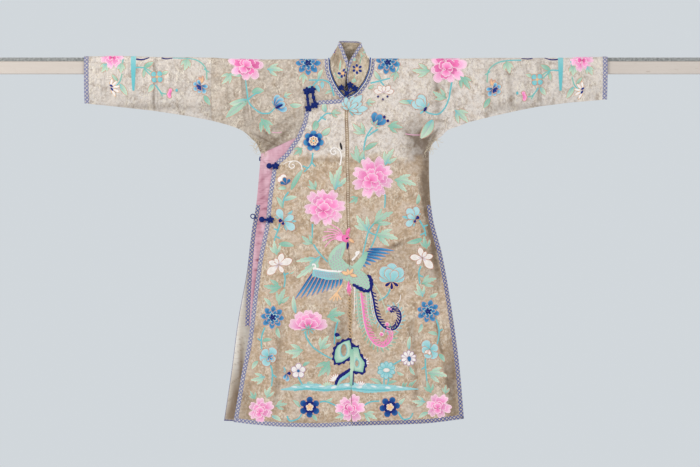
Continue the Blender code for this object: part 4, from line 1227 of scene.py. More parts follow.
def make_lattice():
    """Crossing zigzag lines that make small diamonds, with a dot in each and a border each side."""
    tree, given, out = group("woven_lattice_ribbon", {
        "Cut": None, "Diamond": 0.0108, "Width": RIBBON_WIDTH * MM, "Ground": opaque(226, 216, 200),
        "Blue": opaque(118, 122, 166), "Dot": opaque(160, 158, 184),
    }, ("Color", "Height"))
    cut = given["Cut"]
    along, across = (cut.part(k) / given["Diamond"] for k in (0, 1))
    one, other = (along + across).zigzag(), (along - across).zigzag()
    lines = (one.maths("MINIMUM", other) - cut.cloudy(300.0, 3.0, 0.7) * 0.44).ramp(0.06, -0.08)
    border = abs(cut.part(1) / given["Width"] - 0.5).ramp(0.45, 0.48) * 0.6
    tone = coated(
        given["Ground"], (lines, given["Blue"]), ((one + other).ramp(0.86, 0.94), given["Dot"]),
        (border, given["Blue"]), (cut.cloudy(60.0, 4.0, 0.6).ramp(0.42, 0.72) * 0.4, opaque(150, 142, 138)),
    )
    fill(out, {"Color": tone, "Height": cut.part(0).zigzag(0.0007) * 900.0 + lines})
    return tree


lattice = make_lattice()


def finish_ribbon(name, **values):
    """Slightly lustrous silk ribbon."""
    material, tree, shader = new_material(name)
    look = placed(tree, lattice, cut=node(tree, "ShaderNodeUVMap", uv_map="cut"), **values)
    surface(shader, look["Color"], 0.55, look["Height"], 0.35, 0.0005)
    return material


ribbon_silk = finish_ribbon("woven_blue_ribbon")
hem_silk = finish_ribbon(
    "deeper_blue_ribbon", blue=opaque(76, 84, 146), dot=opaque(120, 118, 150), ground=opaque(214, 198, 168),
)


def front_lift(x, run):
    """How far the front's outer layer stands above the lower ones."""
    on_flap = (x < centre_seam(run)) & (x > overlap_edge(run) - 3) & (run < overlap_top(x) + 3)
    on_left = x >= centre_seam(run)
    return np.where(on_flap, LAYER_STEP, np.where(on_left, centre_lift(x), 0.0))


def laid_on(side, creases, lift=lambda x, run: 0.0):
    """A way to lay things on the cloth: it turns x, run and how far they are raised into places."""
    return lambda x, run, raised: hang(side, creases, x, run, raised, lift(x, run))


on_flap = laid_on(FRONT, FRONT_CREASES, lambda x, run: LAYER_STEP)
on_left_front = laid_on(FRONT, FRONT_CREASES, lambda x, run: centre_lift(x))
on_lower_layer = laid_on(FRONT, FRONT_CREASES)
on_front = laid_on(FRONT, FRONT_CREASES, front_lift)
on_back = laid_on(BACK, BACK_CREASES)


def on_collar_face(x, run, raised):
    """A place on the collar's outside, in millimetres along and up it."""
    return on_collar(x / COLLAR_LENGTH, run / COLLAR_TALL, COLLAR_HALF_WALL + raised)


def line_of(reader, start, end, steps=120, by_height=True):
    """Points of a curve that is read by height, or by x."""
    at = np.linspace(start, end, steps)
    return np.stack([reader(at), at] if by_height else [at, reader(at)], axis=1)


EDGE = edge_profile(RIBBON_WIDTH)
LAID_FLAT = flat_profile(4.6, 14.6)
TO_THE_RIGHT = (-1.0, 1.0, 1.0)
seam_top, seam_foot = float(centre_seam(-88.0)), float(centre_seam(-1018.0))

flap_path = even_path(
    line_of(overlap_top, -105.0, seam_top - 0.5, by_height=False)[::-1],
    line_of(overlap_edge, -105.5, -1007.0, 500),
    line_of(front_hem, -322.0, seam_foot - 0.3, 160, by_height=False),
)
ribbon("overlap_ribbon", "trim_overlap", flap_path, EDGE, on_flap)

left_path = even_path(
    line_of(front_hem, seam_foot + 0.3, 332.0, 160, by_height=False),
    line_of(curve(LEFT_SIDE_EDGE), -998.5, VENT_TOP, 240),
)
ribbon("left_front_ribbon", "trim_front_left", left_path, EDGE, on_left_front)

underlap_path = even_path(line_of(curve(UNDERLAP_EDGE), VENT_TOP, UNDERLAP_HEM, 200))
ribbon("underlap_ribbon", "trim_underlap", underlap_path, EDGE, laid_on(FRONT, ()))

back_path = even_path(
    line_of(curve(LEFT_SIDE_EDGE), VENT_TOP, -998.5, 240),
    line_of(back_hem, 332.0, -350.5, 260, by_height=False),
    line_of(curve(RIGHT_SIDE_EDGE), -1006.0, VENT_TOP, 240),
)
ribbon("back_ribbon", "trim_back", back_path, EDGE * TO_THE_RIGHT, on_back)

# The notch for the neck: x and run of its two corners, and of the crest above each
right_notch, left_notch = ((x, float(below_fold(x))) for x in (NECK_RIGHT, NECK_LEFT))
right_crest, left_crest = ((x, float(below_fold(x) + FOLD_RUN)) for x in (NECK_RIGHT, NECK_LEFT))

right_neck = line_of(curve(NECK_RIGHT_CURVE), NECK_BOTTOM - 1.0, 16.0)
right_neck = even_path(right_neck, [right_neck[-1], right_crest])
ribbon("right_neck_ribbon", "neck_trim_right", right_neck, LAID_FLAT, on_lower_layer)

left_neck = line_of(curve(NECK_LEFT_CURVE), NECK_BOTTOM, 17.0)
left_neck = even_path(
    [(float(centre_seam(-90.0)) + 0.3, NECK_BOTTOM - 0.6), left_neck[0]],
    left_neck, [left_neck[-1], left_crest],
)
ribbon(
    "left_neck_ribbon", "neck_trim_left", left_neck, LAID_FLAT * TO_THE_RIGHT, on_left_front,
)
back_neck = even_path([right_crest, right_notch], [right_notch, left_notch], [left_notch, left_crest])
ribbon("back_neck_ribbon", "neck_trim_back", back_neck, LAID_FLAT * TO_THE_RIGHT, on_back)

# The collar's ribbon goes up one end, along the top and down the other: along and up
COLLAR_CORNERS = (
    (0.6, 2.0), (0.6, COLLAR_TALL - 0.6), (COLLAR_LENGTH - 0.6, COLLAR_TALL - 0.6),
    (COLLAR_LENGTH - 0.6, 2.0),
)
collar_path = even_path(*zip(COLLAR_CORNERS, COLLAR_CORNERS[1:]))
collar_profile = edge_profile(9.0, 2 * COLLAR_HALF_WALL) * TO_THE_RIGHT
ribbon("collar_ribbon", "collar_trim", collar_path, collar_profile, on_collar_face)


def make_cuff(name, node_name, cuff, table, sign):
    """Ribbon round the opening of a sleeve."""
    lowest = float(straight(flipped(table), cuff))
    path = even_path([(cuff, lowest - 0.3), (cuff, float(below_fold(cuff) + FOLD_RUN))])
    profile = edge_profile(HEM_RIBBON_WIDTH)
    x = path[:, 0, None] - sign * profile[:, 0]
    levels = []
    for k in (1, 2):
        front, rear = (
            hang(side, creases, x, path[:, 1, None], profile[None, :, k])
            for side, creases in ((FRONT, FRONT_CREASES), (BACK, BACK_CREASES))
        )
        crest = (front[-1:] + rear[-1:]) / 2
        levels.append(np.concatenate([front[:-1], crest, rear[-2::-1]]))
    length = np.arange(len(levels[0])) * RIBBON_STEP
    sewn(name, node_name, levels, along_path(profile[:, :2]), length, ribbon_silk)


make_cuff("right_cuff_ribbon", "cuff_right", CUFF_RIGHT, RIGHT_SLEEVE_EDGE, -1)
make_cuff("left_cuff_ribbon", "cuff_left", CUFF_LEFT, LEFT_SLEEVE_EDGE, 1)

# The piping and the fastenings: navy silk cord. The piping is sewn round the neck. Each fastening
# is a cord knotted into a flower, buttoned to its partner by a loop, and stays closed.
PIPING_RADIUS = 1.7
PIPING_INSET = 2.4
CREAM_LINE_RADIUS = 1.1
CREAM_LINE_RISE = 2.6
CORD_RADIUS = 1.7
RING_CORD_RADIUS = 1.4

# Flower knots: x, z, radius, how far the back stands from the cloth
NECK_KNOTS = ((-16, -58, 7.5, 18.4), (9, -51, 8, 22.4), (22, -61, 8.5, 21.4), (-1, -76, 6, 22.4))
SHOULDER_KNOTS = (
    (-114.5, -67, 9.6, 0.3), (-99, -64, 9.6, 0.3), (-109, -116, 9.6, 4.7), (-91, -107, 9.6, 4.7),
)
SHOULDER_BUTTONS = ((-112, -91, 4.6), (-95, -86, 5.6))
UNDERARM_KNOTS = ((-203, -280, 9.2, 5.1), (-221, -280, 6.8, 5.1))
SIDE_KNOTS = ((-217.5, -433, 9.2, 5.1), (-242, -432, 6.8, 5.1))
# The far end of the underarm cord, which shows past the side: x, y, z
UNDERARM_FAR_END = (-249.2, -2.4, -259.0)
VENT_RING = (-268.0, -423.0, 6.0)


class Cords:
    """Round cords that are gathered into one piece."""

    def __init__(self):
        self.points, self.faces, self.flat, self.count = [], [], [], 0

    def tube(self, path, radius, sides=10, closed=False):
        """A cord along a path in space, in millimetres."""
        path = np.asarray(path, dtype=float)
        ends = (path[-1:], path[:1]) if closed else (path[:1], path[-1:])
        wrapped = np.vstack([ends[0], path, ends[1]])
        ahead = unit(wrapped[2:] - wrapped[:-2])
        up = unit(np.cross(ahead, (0.02, 1.0, 0.03)))
        turn = np.linspace(0, 2 * math.pi, sides, endpoint=False)
        around = up[:, None] * np.cos(turn)[:, None] + np.cross(up, ahead)[:, None] * np.sin(turn)[:, None]
        thick = np.broadcast_to(radius, (len(path),))[:, None, None]
        self.points.append((path[:, None] + around * thick).reshape(-1, 3))
        ring = self.count + np.arange(len(path))[:, None] * sides + np.arange(sides)
        beside, below = np.roll(ring, -1, axis=1), np.roll(ring, -1, axis=0)
        quads = np.stack([ring, beside, np.roll(below, -1, axis=1), below], axis=-1)
        self.faces += quads[: len(path) - (not closed)].reshape(-1, 4).tolist()
        if not closed:
            self.faces += [ring[0, ::-1].tolist(), ring[-1].tolist()]
        flat = np.meshgrid(along_path(path), turn * float(np.mean(radius)), indexing="ij")
        self.flat.append(np.stack(flat, axis=-1).reshape(-1, 2))
        self.count += len(path) * sides

    def ball(self, centre, radius, depth):
        """A rounded button knot, as rings from one pole to the other."""
        turns = np.linspace(-math.pi / 2 + 0.12, math.pi / 2 - 0.12, 9)
        path = np.array([(centre[0], centre[1] + depth * math.sin(t), centre[2]) for t in turns])
        self.tube(path[::-1], radius * np.cos(turns)[::-1], 16)

    def make(self, name, node_name, material):
        """Turns the gathered cords into one object."""
        made = link_mesh(name, np.concatenate(self.points), self.faces)
        lay_uvs(made, np.concatenate(self.flat) * MM)
        made.data.materials.append(material)
        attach(made, "root")
        if node_name:
            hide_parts(node_name)


def finish_cord(name, deep, lit):
    """Two plies of blue silk, seen as slanting ridges with a dull shine: painted highlight on the tops of
    the plies and painted shade between them.
    """
    material, tree, shader = new_material(name)
    cut = node(tree, "ShaderNodeUVMap", uv_map="cut")
    ply = (cut.part(0) + cut.part(1) * 0.8).zigzag(0.0009) * 1100.0
    fuzz = cut.cloudy(900.0, 3.0, 0.7)
    tone = (fuzz.ramp(0.58, 0.78) * 0.3).between(ply.between(deep, lit), opaque(40, 66, 140))
    surface(shader, tone, 0.6, ply + fuzz * 0.5, 0.7, 0.0006)
    fill(shader, {"Specular IOR Level": 0.25})
    return material


navy_cord = finish_cord("navy_silk_cord", opaque(0, 14, 76), opaque(14, 54, 146))
piping_cord = finish_cord("blue_silk_piping", opaque(14, 52, 128), opaque(44, 104, 190))

piping = Cords()
piping_path = []
for lay, neck, sign, kept in (
    (on_lower_layer, right_neck, 1.0, slice(None)), (on_back, back_neck, -1.0, slice(2, -2)),
    (on_left_front, left_neck, -1.0, slice(None, None, -1)),
):
    x, run = (neck + aside(neck) * PIPING_INSET * sign)[kept].T
    piping_path.append(lay(x, run, SEAM + PIPING_RADIUS))
piping.tube(np.concatenate(piping_path), PIPING_RADIUS)
piping.make("neck_piping_cord", "neck_piping", piping_cord)

cream_line = Cords()
for lay, neck, sign in ((on_lower_layer, right_neck, 1.0), (on_left_front, left_neck, -1.0)):
    x, run = (neck + aside(neck) * (PIPING_INSET + PIPING_RADIUS + 0.8) * sign)[2:-3].T
    cream_line.tube(lay(x, run, SEAM + CREAM_LINE_RISE), CREAM_LINE_RADIUS, 6)
cream_line.make("neck_cream_line", None, cream_silk)


def flower_knot(cords, x, y, z, radius):
    """A cord looped into five petals round a button. It lies against the cloth at y."""
    turn = np.linspace(0, 2 * math.pi, 90, endpoint=False)
    for middle, swing, forward, weave, thick in (
        (0.62, 0.34, 1.9, 0.9, 1.16), (0.34, -0.16, 2.6, -0.45, 0.8),
    ):
        out = radius * (middle + swing * np.cos(5 * turn))
        front = y - forward + weave * np.sin(5 * turn)
        path = np.stack([x + out * np.cos(turn + 0.3), front, z + out * np.sin(turn + 0.3)], axis=1)
        cords.tube(path, CORD_RADIUS * thick * radius / 8.2, 8, closed=True)
    cords.ball((x, y - 3.4, z), radius * 0.34, 2.3)


def cord_between(cords, start, end, sag=0.0, radius=CORD_RADIUS):
    """A short cord, slightly bowed sideways."""
    start, end = np.asarray(start, dtype=float), np.asarray(end, dtype=float)
    share = np.linspace(0, 1, 14)[:, None]
    across = unit(np.cross(end - start, (0.0, 1.0, 0.0)))
    cords.tube(start + (end - start) * share + across * sag * np.sin(share * math.pi), radius, 8)


def cloth_face(x, z, back):
    """y of a surface that stands a given distance outside the plain cloth."""
    return -float(cloth_depth(FRONT, (), np.array(float(x)), np.array(float(z)))) - back


neck_cords = Cords()
for x, z, radius, back in NECK_KNOTS:
    flower_knot(neck_cords, x, -back + 0.2, z, radius)
for x, z, _, back in NECK_KNOTS[:3]:
    cord_between(neck_cords, (x, -back - 1.2, z), (-1, -23.4, -76), 1.2)
neck_cords.make("neck_fastening_cord", "fastening_neck", navy_cord)

shoulder_cords = Cords()
centres = []
for x, z, radius, back in SHOULDER_KNOTS:
    y = cloth_face(x, z, back)
    centres.append((x, y - 1.6, z))
    flower_knot(shoulder_cords, x, y, z, radius)
for a, b in ((0, 2), (1, 3), (0, 1), (2, 3)):
    start, end = np.array(centres[a]), np.array(centres[b])
    for sign in (1, -1):
        offset = unit(np.cross(end - start, (0.0, 1.0, 0.0))) * 1.5 * sign
        cord_between(shoulder_cords, start + offset, end + offset, 0.4 * sign)
for x, z, radius in SHOULDER_BUTTONS:
    shoulder_cords.ball((x, cloth_face(x, z, 5.6), z), radius, 3.4)
shoulder_cords.make("shoulder_fastening_cord", "fastening_shoulder", navy_cord)


def pair_fastening(name, node_name, rows, far_end=None):
    """A flower knot and a button. The cord's far end may show past the side."""
    cords = Cords()
    (x0, z0, radius0, back0), (x1, z1, radius1, back1) = rows
    y0, y1 = cloth_face(x0, z0, back0), cloth_face(x1, z1, back1)
    flower_knot(cords, x0, y0, z0, radius0)
    cords.ball((x1, y1 - 2.6, z1), radius1 * 0.86, 3.6)
    cords.tube(
        [
            (x1 + radius1 * math.cos(t), y1 - 2.0, z1 + radius1 * math.sin(t))
            for t in np.linspace(0, 6.1, 24)
        ],
        CORD_RADIUS * 0.8, 8,
    )
    for gap in (-1.5, 1.5):
        cord_between(cords, (x0, y0 - 1.5, z0 + gap), (x1, y1 - 1.5, z1 + gap), 0.3)
    if far_end:
        end_x, end_y, end_z = far_end
        cord_between(cords, (end_x + 1.6, end_y, end_z + 6.0), (end_x, end_y, end_z), 0.6)
        cord_between(cords, (end_x, end_y, end_z), (end_x + 0.4, end_y, end_z - 6.5), 0.6)
    cords.make(name, node_name, navy_cord)


pair_fastening("underarm_fastening_cord", "fastening_underarm", UNDERARM_KNOTS, UNDERARM_FAR_END)
pair_fastening("side_fastening_cord", "fastening_side", SIDE_KNOTS)

ring_x, ring_z, ring_radius = VENT_RING
ring_turn = np.linspace(0, 2 * math.pi, 40, endpoint=False)
vent_ring = Cords()
ring_path = np.stack([
    ring_x + ring_radius * np.cos(ring_turn),
    -5.2 + 0.6 * np.sin(2 * ring_turn),
    ring_z + ring_radius * np.sin(ring_turn),
], axis=1)
vent_ring.tube(ring_path, RING_CORD_RADIUS, 8, closed=True)
cord_between(vent_ring, (ring_x + 5, -5.2, ring_z - 3), (-259.0, -4.6, -428.0), 0.5, 1.3)
vent_ring.make("vent_ring_cord", "vent_ring", navy_cord)

# The seam down the middle of the front: the two edges meet under a narrow brownish welt of couched
# gold cord, with a few loops of gold thread beside it lower down.
WELT_HALF = 5.2
WELT_FOOT = -466.0

welt_run = np.linspace(-100.0, WELT_FOOT, 260)
welt_middle = centre_seam(welt_run) + 0.5 * np.sin(welt_run / 19.0)
welt_profile = np.array((
    (-WELT_HALF, 0.05), (-4.4, 0.75), (-3.3, 0.95), (-2.3, 0.35), (0.0, 0.55), (2.3, 0.35), (3.3, 0.95),
    (4.4, 0.75), (WELT_HALF, 0.05),
))
welt_x = welt_middle[:, None] + welt_profile[None, :, 0]
welt_z = np.repeat(welt_run[:, None], len(welt_profile), axis=1)
welt_cut = np.stack([welt_z, np.broadcast_to(welt_profile[:, 0], welt_z.shape)], axis=-1)
welt = shell(
    "centre_seam_welt",
    on_front(welt_x, welt_z, welt_profile[None, :, 1] + 0.1),
    on_front(welt_x, welt_z, 0.03),
    welt_cut,
)


def finish_welt():
    """Tarnished gold cord with lighter stitches across the middle."""
    material, tree, shader = new_material("tarnished_gold_welt")
    cut = node(tree, "ShaderNodeUVMap", uv_map="cut")
    dash = (cut.part(0) / 0.0052).zigzag().ramp(0.22, 0.3)
    from_middle = abs(cut.part(1))
    tone = coated(
        cut.cloudy(34.0, 4.0, 0.6).ramp(0.4, 0.62).between(opaque(152, 126, 100), opaque(200, 176, 146)),
        (abs(from_middle - 0.0034).ramp(0.0014, 0.0004) * 0.3, opaque(126, 98, 72)),
        (dash * from_middle.ramp(0.0022, 0.0014), opaque(228, 212, 190)),
    )
    surface(shader, tone, 0.55, cut.cloudy(700.0, 3.0, 0.7), 0.6, 0.0006)
    fill(shader, {"Metallic": 0.15})
    welt.data.materials.append(material)


finish_welt()
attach(welt, "root")

# Below the bird only a narrow dark groove is left of the seam, with gold thread looped over it. Brown tubes
# stand for the groove, coloured dark as its painted shade.
LOOPS_TOP = -640.0
LOOPS_FOOT = -770.0
LOOP_STEP = -9.5
LOOP_HALF_WIDTH = 4.6
LOOP_HALF_HEIGHT = 3.6
LOOP_THREAD_RADIUS = 1.0
GROOVE_RADIUS = 1.0
WIDE_GROOVE_RADIUS = 3.2

groove = Cords()
groove_run = np.linspace(WELT_FOOT, -1014.0, 160)
groove_x = centre_seam(groove_run) + 0.6 * np.sin(groove_run / 13.0)
groove.tube(on_front(groove_x, groove_run, 0.1), GROOVE_RADIUS, 6)
wide_run = np.linspace(LOOPS_TOP + 24.0, LOOPS_FOOT, 60)
wide_x = centre_seam(wide_run) + 1.2 * np.sin(wide_run / 9.0)
groove.tube(on_front(wide_x, wide_run, -1.4), WIDE_GROOVE_RADIUS, 8)
groove.make("centre_seam_groove", None, plain_silk(
    "brown_seam_groove", 0.7,
    silk=opaque(128, 104, 80), faded=opaque(150, 124, 98), shaded=opaque(96, 74, 54),
))

gold_loops = Cords()
for k, level in enumerate(np.arange(LOOPS_TOP, LOOPS_FOOT, LOOP_STEP)):
    middle = float(centre_seam(level)) + 2.0 * math.sin(k * 1.7)
    turn = np.linspace(-0.5, 5.2, 16)
    loop_x = middle + LOOP_HALF_WIDTH * np.sin(turn)
    loop_z = level + LOOP_HALF_HEIGHT * np.cos(turn)
    gold_loops.tube(on_front(loop_x, loop_z, 1.7), LOOP_THREAD_RADIUS, 6)
gold_loops.make("seam_gold_loops", None, plain_silk(
    "looped_gold_thread", 0.5,
    silk=opaque(226, 190, 142), faded=opaque(240, 212, 170), shaded=opaque(168, 128, 84),
))

# The embroidery: floss silk in satin stitch, shaded from the root of each petal or leaf to its tip,
# with a fine gold edge couched round it. It is worked on the cloth before the panels are joined.
SILKS = {
    "crimson": (204, 62, 118), "deep_rose": (230, 92, 158), "rose": (246, 134, 190),
    "pale_rose": (253, 178, 216), "blush": (253, 214, 228), "turquoise": (104, 190, 196),
    "aqua": (146, 204, 206), "mint": (172, 206, 182), "pale_mint": (200, 222, 196), "leaf": (134, 190, 166),
    "deep_leaf": (104, 168, 142), "navy": (0, 14, 108), "royal": (4, 60, 138), "blue": (40, 110, 160),
    "sky": (84, 156, 202), "pale_blue": (178, 216, 218), "peach": (246, 200, 152), "gold": (232, 180, 128),
    "white": (246, 240, 234), "ivory": (232, 222, 212), "mauve": (190, 160, 184), "ink": (20, 8, 14),
    "brown": (132, 104, 78), "rim": (208, 160, 138),
}
RIM = 2.1


def shades(names, share=0.0):
    """Thread colours along a share from 0 to 1, in linear light. Names are parted by spaces."""
    values = np.array([colour(*SILKS[name]) for name in names.split()])
    at = np.asarray(share) * (len(values) - 1)
    return np.stack([np.interp(at, range(len(values)), values[:, k]) for k in range(3)], axis=-1)


class Needlework:
    """Stitched patches that are gathered and made into one piece."""

    def __init__(self, lay):
        self.lay, self.count = lay, 0
        self.points, self.faces, self.tints, self.threads = [], [], [], []

    def patch(self, x, run, raised, tints, across, along):
        """Adds a grid of stitches. Across and along say how the threads lie."""
        x, run, raised = np.broadcast_arrays(x, run, raised)
        points = self.lay(x, run, raised)
        outward = (self.lay(x, run, raised + 1.0) - points).mean(axis=(0, 1))
        corners = grid_faces(np.ones((x.shape[0] - 1, x.shape[1] - 1)), self.count)
        faces = np.stack([corner.ravel() for corner in corners], axis=1)
        turned = np.cross(points[1:, 1:] - points[:-1, :-1], points[:-1, 1:] - points[1:, :-1])
        if np.dot(turned.sum(axis=(0, 1)), outward) < 0:
            faces = faces[:, ::-1]
        self.faces.append(faces)
        self.points.append(points.reshape(-1, 3))
        self.tints.append(np.broadcast_to(tints, (*x.shape, 3)).reshape(-1, 3))
        threads = np.stack(np.broadcast_arrays(across, along, x)[:2], axis=-1)
        self.threads.append(threads.reshape(-1, 2))
        self.count += x.size

    def make(self, name):
        """Turns the gathered patches into one object."""
        made = link_mesh(name, np.concatenate(self.points), np.concatenate(self.faces).tolist())
        lay_uvs(made, np.concatenate(self.threads) * MM)
        tint = made.data.color_attributes.new(name="tint", type="FLOAT_COLOR", domain="POINT")
        values = np.concatenate(self.tints)
        tint.data.foreach_set("color", np.column_stack([values, np.ones(len(values))]).ravel())
        made.data.materials.append(silk_floss)
        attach(made, "root")


def make_satin():
    """Long smooth threads side by side, a little uneven, dulled and broken where they are worn."""
    tree, given, out = group("satin_stitch", {
        "Threads": None, "Tint": opaque(240, 150, 200), "Pitch": 0.0009, "Wear": 0.3,
    }, ("Color", "Roughness", "Height"))
    threads, tint = given["Threads"], given["Tint"]
    thread = ((threads.part(0) + threads.cloudy(90.0, 2.0) * 0.004) / given["Pitch"]).zigzag()
    single = threads.cloudy(700.0, 2.0, 0.6, (1.0, 0.06, 1.0))
    bare = threads.cloudy(130.0, 4.0, 0.6).ramp(0.64, 0.82) * given["Wear"]
    tone = single.between(tint, tint.dyed((1.3, 1.28, 1.26, 1.0)))
    # Painted shade in the hollows between the threads.
    painted_hollow_shade = (thread.ramp(0.2, 0.0) * 0.3, tone.dyed(opaque(150, 140, 140)))
    tone = coated(tone, painted_hollow_shade, (bare, opaque(206, 192, 172)))
    fill(out, {"Color": tone, "Roughness": single * 0.25 + 0.3, "Height": thread + single})
    return tree


def finish_floss():
    """Untwisted silk with a soft shine."""
    material, tree, shader = new_material("embroidery_floss")
    threads = node(tree, "ShaderNodeUVMap", uv_map="cut")
    tint = node(tree, "ShaderNodeAttribute", output="Color", attribute_name="tint")
    look = placed(tree, make_satin(), threads=threads, tint=tint)
    surface(shader, look["Color"], look["Roughness"], look["Height"], 0.4, 0.0005)
    fill(shader, {"Specular IOR Level": 0.3})
    return material


silk_floss = finish_floss()
chance = np.random.default_rng(17)


def outermost(count):
    """-1 for the first of a row, 1 for the last, and 0 between them."""
    return np.pad(np.zeros(count - 2), 1, constant_values=(-1.0, 1.0))


def at_sides(count):
    """Which of a row are the two at each end, where the couched edge lies."""
    return np.minimum(np.arange(count), np.arange(count)[::-1]) < 2


def away(x, z, turn, reach):
    """A place some way off. Turn is clockwise from upwards, in degrees."""
    turn = math.radians(turn)
    return x + reach * math.sin(turn), z + reach * math.cos(turn)


def fan(
    work, x, z, turn, length, spread, silks, base=0.15, lobes=1, bite=0.0, point=0.0, puff=0.35, edge="rim",
    tone=1.0,
):
    """A petal that widens from its root. Turn is clockwise from upwards, in degrees."""
    t = np.pad(np.linspace(-1.0, 1.0, 9 if lobes == 1 else 4 * lobes + 1), 2, mode="edge")
    s = np.array((0.1, 0.4, 0.7, 0.9, 1.0, 1.0, 1.0))[:, None]
    rounded = 1 - (0.26 - 0.2 * point) * abs(t) ** 2.4 - point * abs(t)
    reach = (length - RIM * 0.6) * rounded * (1 - bite * (1 - abs(np.sin(lobes * math.pi * (t + 1) / 2))))
    angle = math.radians(turn) + math.radians(spread) * t
    along = s * reach + np.array((0, 0, 0, 0, 0, 0, RIM))[:, None]
    aside_of_petal = outermost(len(t)) * RIM * s
    raised = base + puff * (1 - 0.9 * t**2) * np.sin(math.pi * (0.12 + 0.8 * s))
    paler = (np.clip(abs(t) * 1.5 - 1.0, 0, 0.5) * s)[..., None]
    tints = (shades(silks, s) * (1 - paler) + shades(silks.split()[-1]) * paler) * tone
    rim = (np.arange(len(s)) > 4)[:, None] | at_sides(len(t))
    work.patch(
        x + along * np.sin(angle) + aside_of_petal * np.cos(angle),
        z + along * np.cos(angle) - aside_of_petal * np.sin(angle), raised,
        np.where(rim[..., None], shades(edge), tints), math.radians(spread) * t * length * 0.7, along,
    )


def bloom(work, x, z, radius, rings, turn=0.0, base=0.15, jitter=0.0):
    """A flower as rings of petals, from the outside in."""
    for count, reach, spread, lobes, bite, point, silks, edge in rings:
        for k in range(count):
            slack = jitter * chance.uniform(-1, 1)
            fan(
                work, x, z, turn + 360 / count * k + slack * 60, radius * reach * (1 + slack), spread, silks,
                base + 0.25 * (k % 2), lobes, bite, point, 0.35, edge,
                1 - jitter * chance.uniform(-0.6, 2.0),
            )
        turn += 180 / count
        base += 0.45


def disc(work, x, z, wide, high, silks, base=0.4, turn=0.0, puff=0.5, edge=None):
    """An oval patch of stitches, raised in the middle."""
    s = np.array((0.04, 0.4, 0.75, 0.92, 1.0))[:, None]
    t = np.linspace(0, 2 * math.pi, 17)
    lean = math.radians(turn)
    a, b = wide * s * np.cos(t), high * s * np.sin(t)
    tints = shades(silks, s)
    if edge:
        tints[-1] = shades(edge)
    place_x = x + a * math.cos(lean) + b * math.sin(lean)
    place_z = z - a * math.sin(lean) + b * math.cos(lean)
    work.patch(place_x, place_z, base + puff * np.cos(s * math.pi / 2), tints, a, b)


# Rows along a plain leaf and a fingered one, the ends of the fingers, and columns across a leaf
PLAIN_ROWS = (0.0, 0.08, 0.2, 0.36, 0.54, 0.72, 0.86, 0.95, 1.0)
FINGER_ENDS = np.array((0.0, 0.4, 0.6, 0.79, 1.0))
FINGER_ROWS = (
    0.0, 0.1, 0.2, 0.3, 0.39, 0.405, 0.46, 0.53, 0.59, 0.605, 0.66, 0.72, 0.78, 0.795, 0.85, 0.92, 1.0,
)
LEAF_COLUMNS = np.array((-1.0, -1.0, -1.0, -0.55, -0.09, 0.0, 0.09, 0.55, 1.0, 1.0, 1.0))


def leaf(
    work, x0, z0, x1, z1, width, bend=0.0, silks="leaf mint pale_mint", ragged=0.0, base=0.1, rib="mauve",
    edge="rim",
):
    """A leaf or feather with a rib. A ragged one has fingers along both edges."""
    length = math.hypot(x1 - x0, z1 - z0)
    ahead_x, ahead_z = (x1 - x0) / length, (z1 - z0) / length
    s = np.array(FINGER_ROWS if ragged else PLAIN_ROWS)[:, None]
    t = LEAF_COLUMNS
    finger = np.searchsorted(FINGER_ENDS, s, side="left").clip(1, 4)
    growth = (s - FINGER_ENDS[finger - 1]) / (FINGER_ENDS[finger] - FINGER_ENDS[finger - 1])
    fullness = np.sin(math.pi * np.clip(s, 0.015, 0.98) ** (1.0 if ragged else 0.85)) ** 0.62
    tail = np.where(s > 0.86, 0.5, 1.0)
    half = width / 2 * fullness * (1 - ragged * (1 - growth) * (s > 0.39) * tail)
    side = bend * np.sin(math.pi * s) + half * t + RIM * 0.8 * outermost(len(t))
    raised = base + 0.5 * (1 - t**2) - 0.25 * (abs(t) < 0.05)
    tints = np.where((t < 0)[:, None], shades(silks, s), shades(silks, np.clip(s + 0.25, 0, 1)))
    tints = np.where(((abs(t) < 0.05) & (s < 0.9))[..., None], shades(rib), tints)
    tints = np.where(at_sides(len(t))[:, None], shades(edge), tints)
    x, z = x0 + ahead_x * length * s - ahead_z * side, z0 + ahead_z * length * s + ahead_x * side
    work.patch(x, z, raised, tints, length * s - abs(t) * half * 0.8, side)


def sprig(work, x0, z0, x1, z1, width=None, silks="leaf mint pale_mint", base=0.1):
    """A broad leaf with fingers, and a shorter lobe at each side."""
    dx, dz = x1 - x0, z1 - z0
    length = math.hypot(dx, dz)
    width = width or min(length * 0.4, 24.0)
    x, z = x0 + dx * 0.12, z0 + dz * 0.12
    for sign in (-1, 1):
        turn = math.radians(36) * sign
        tip_x = x + (dx * math.cos(turn) - dz * math.sin(turn)) * 0.66
        tip_z = z + (dx * math.sin(turn) + dz * math.cos(turn)) * 0.66
        leaf(work, x, z, tip_x, tip_z, width * 0.72, 1.5 * sign, silks, 0.4, base)
    leaf(work, x0, z0, x1, z1, width, length * 0.05, silks, 0.46, base + 0.22)


def smoothed(points):
    """The smooth line through points, in eight steps from each to the next."""
    return through(points, np.arange((len(points) - 1) * 8 + 1) / 8)


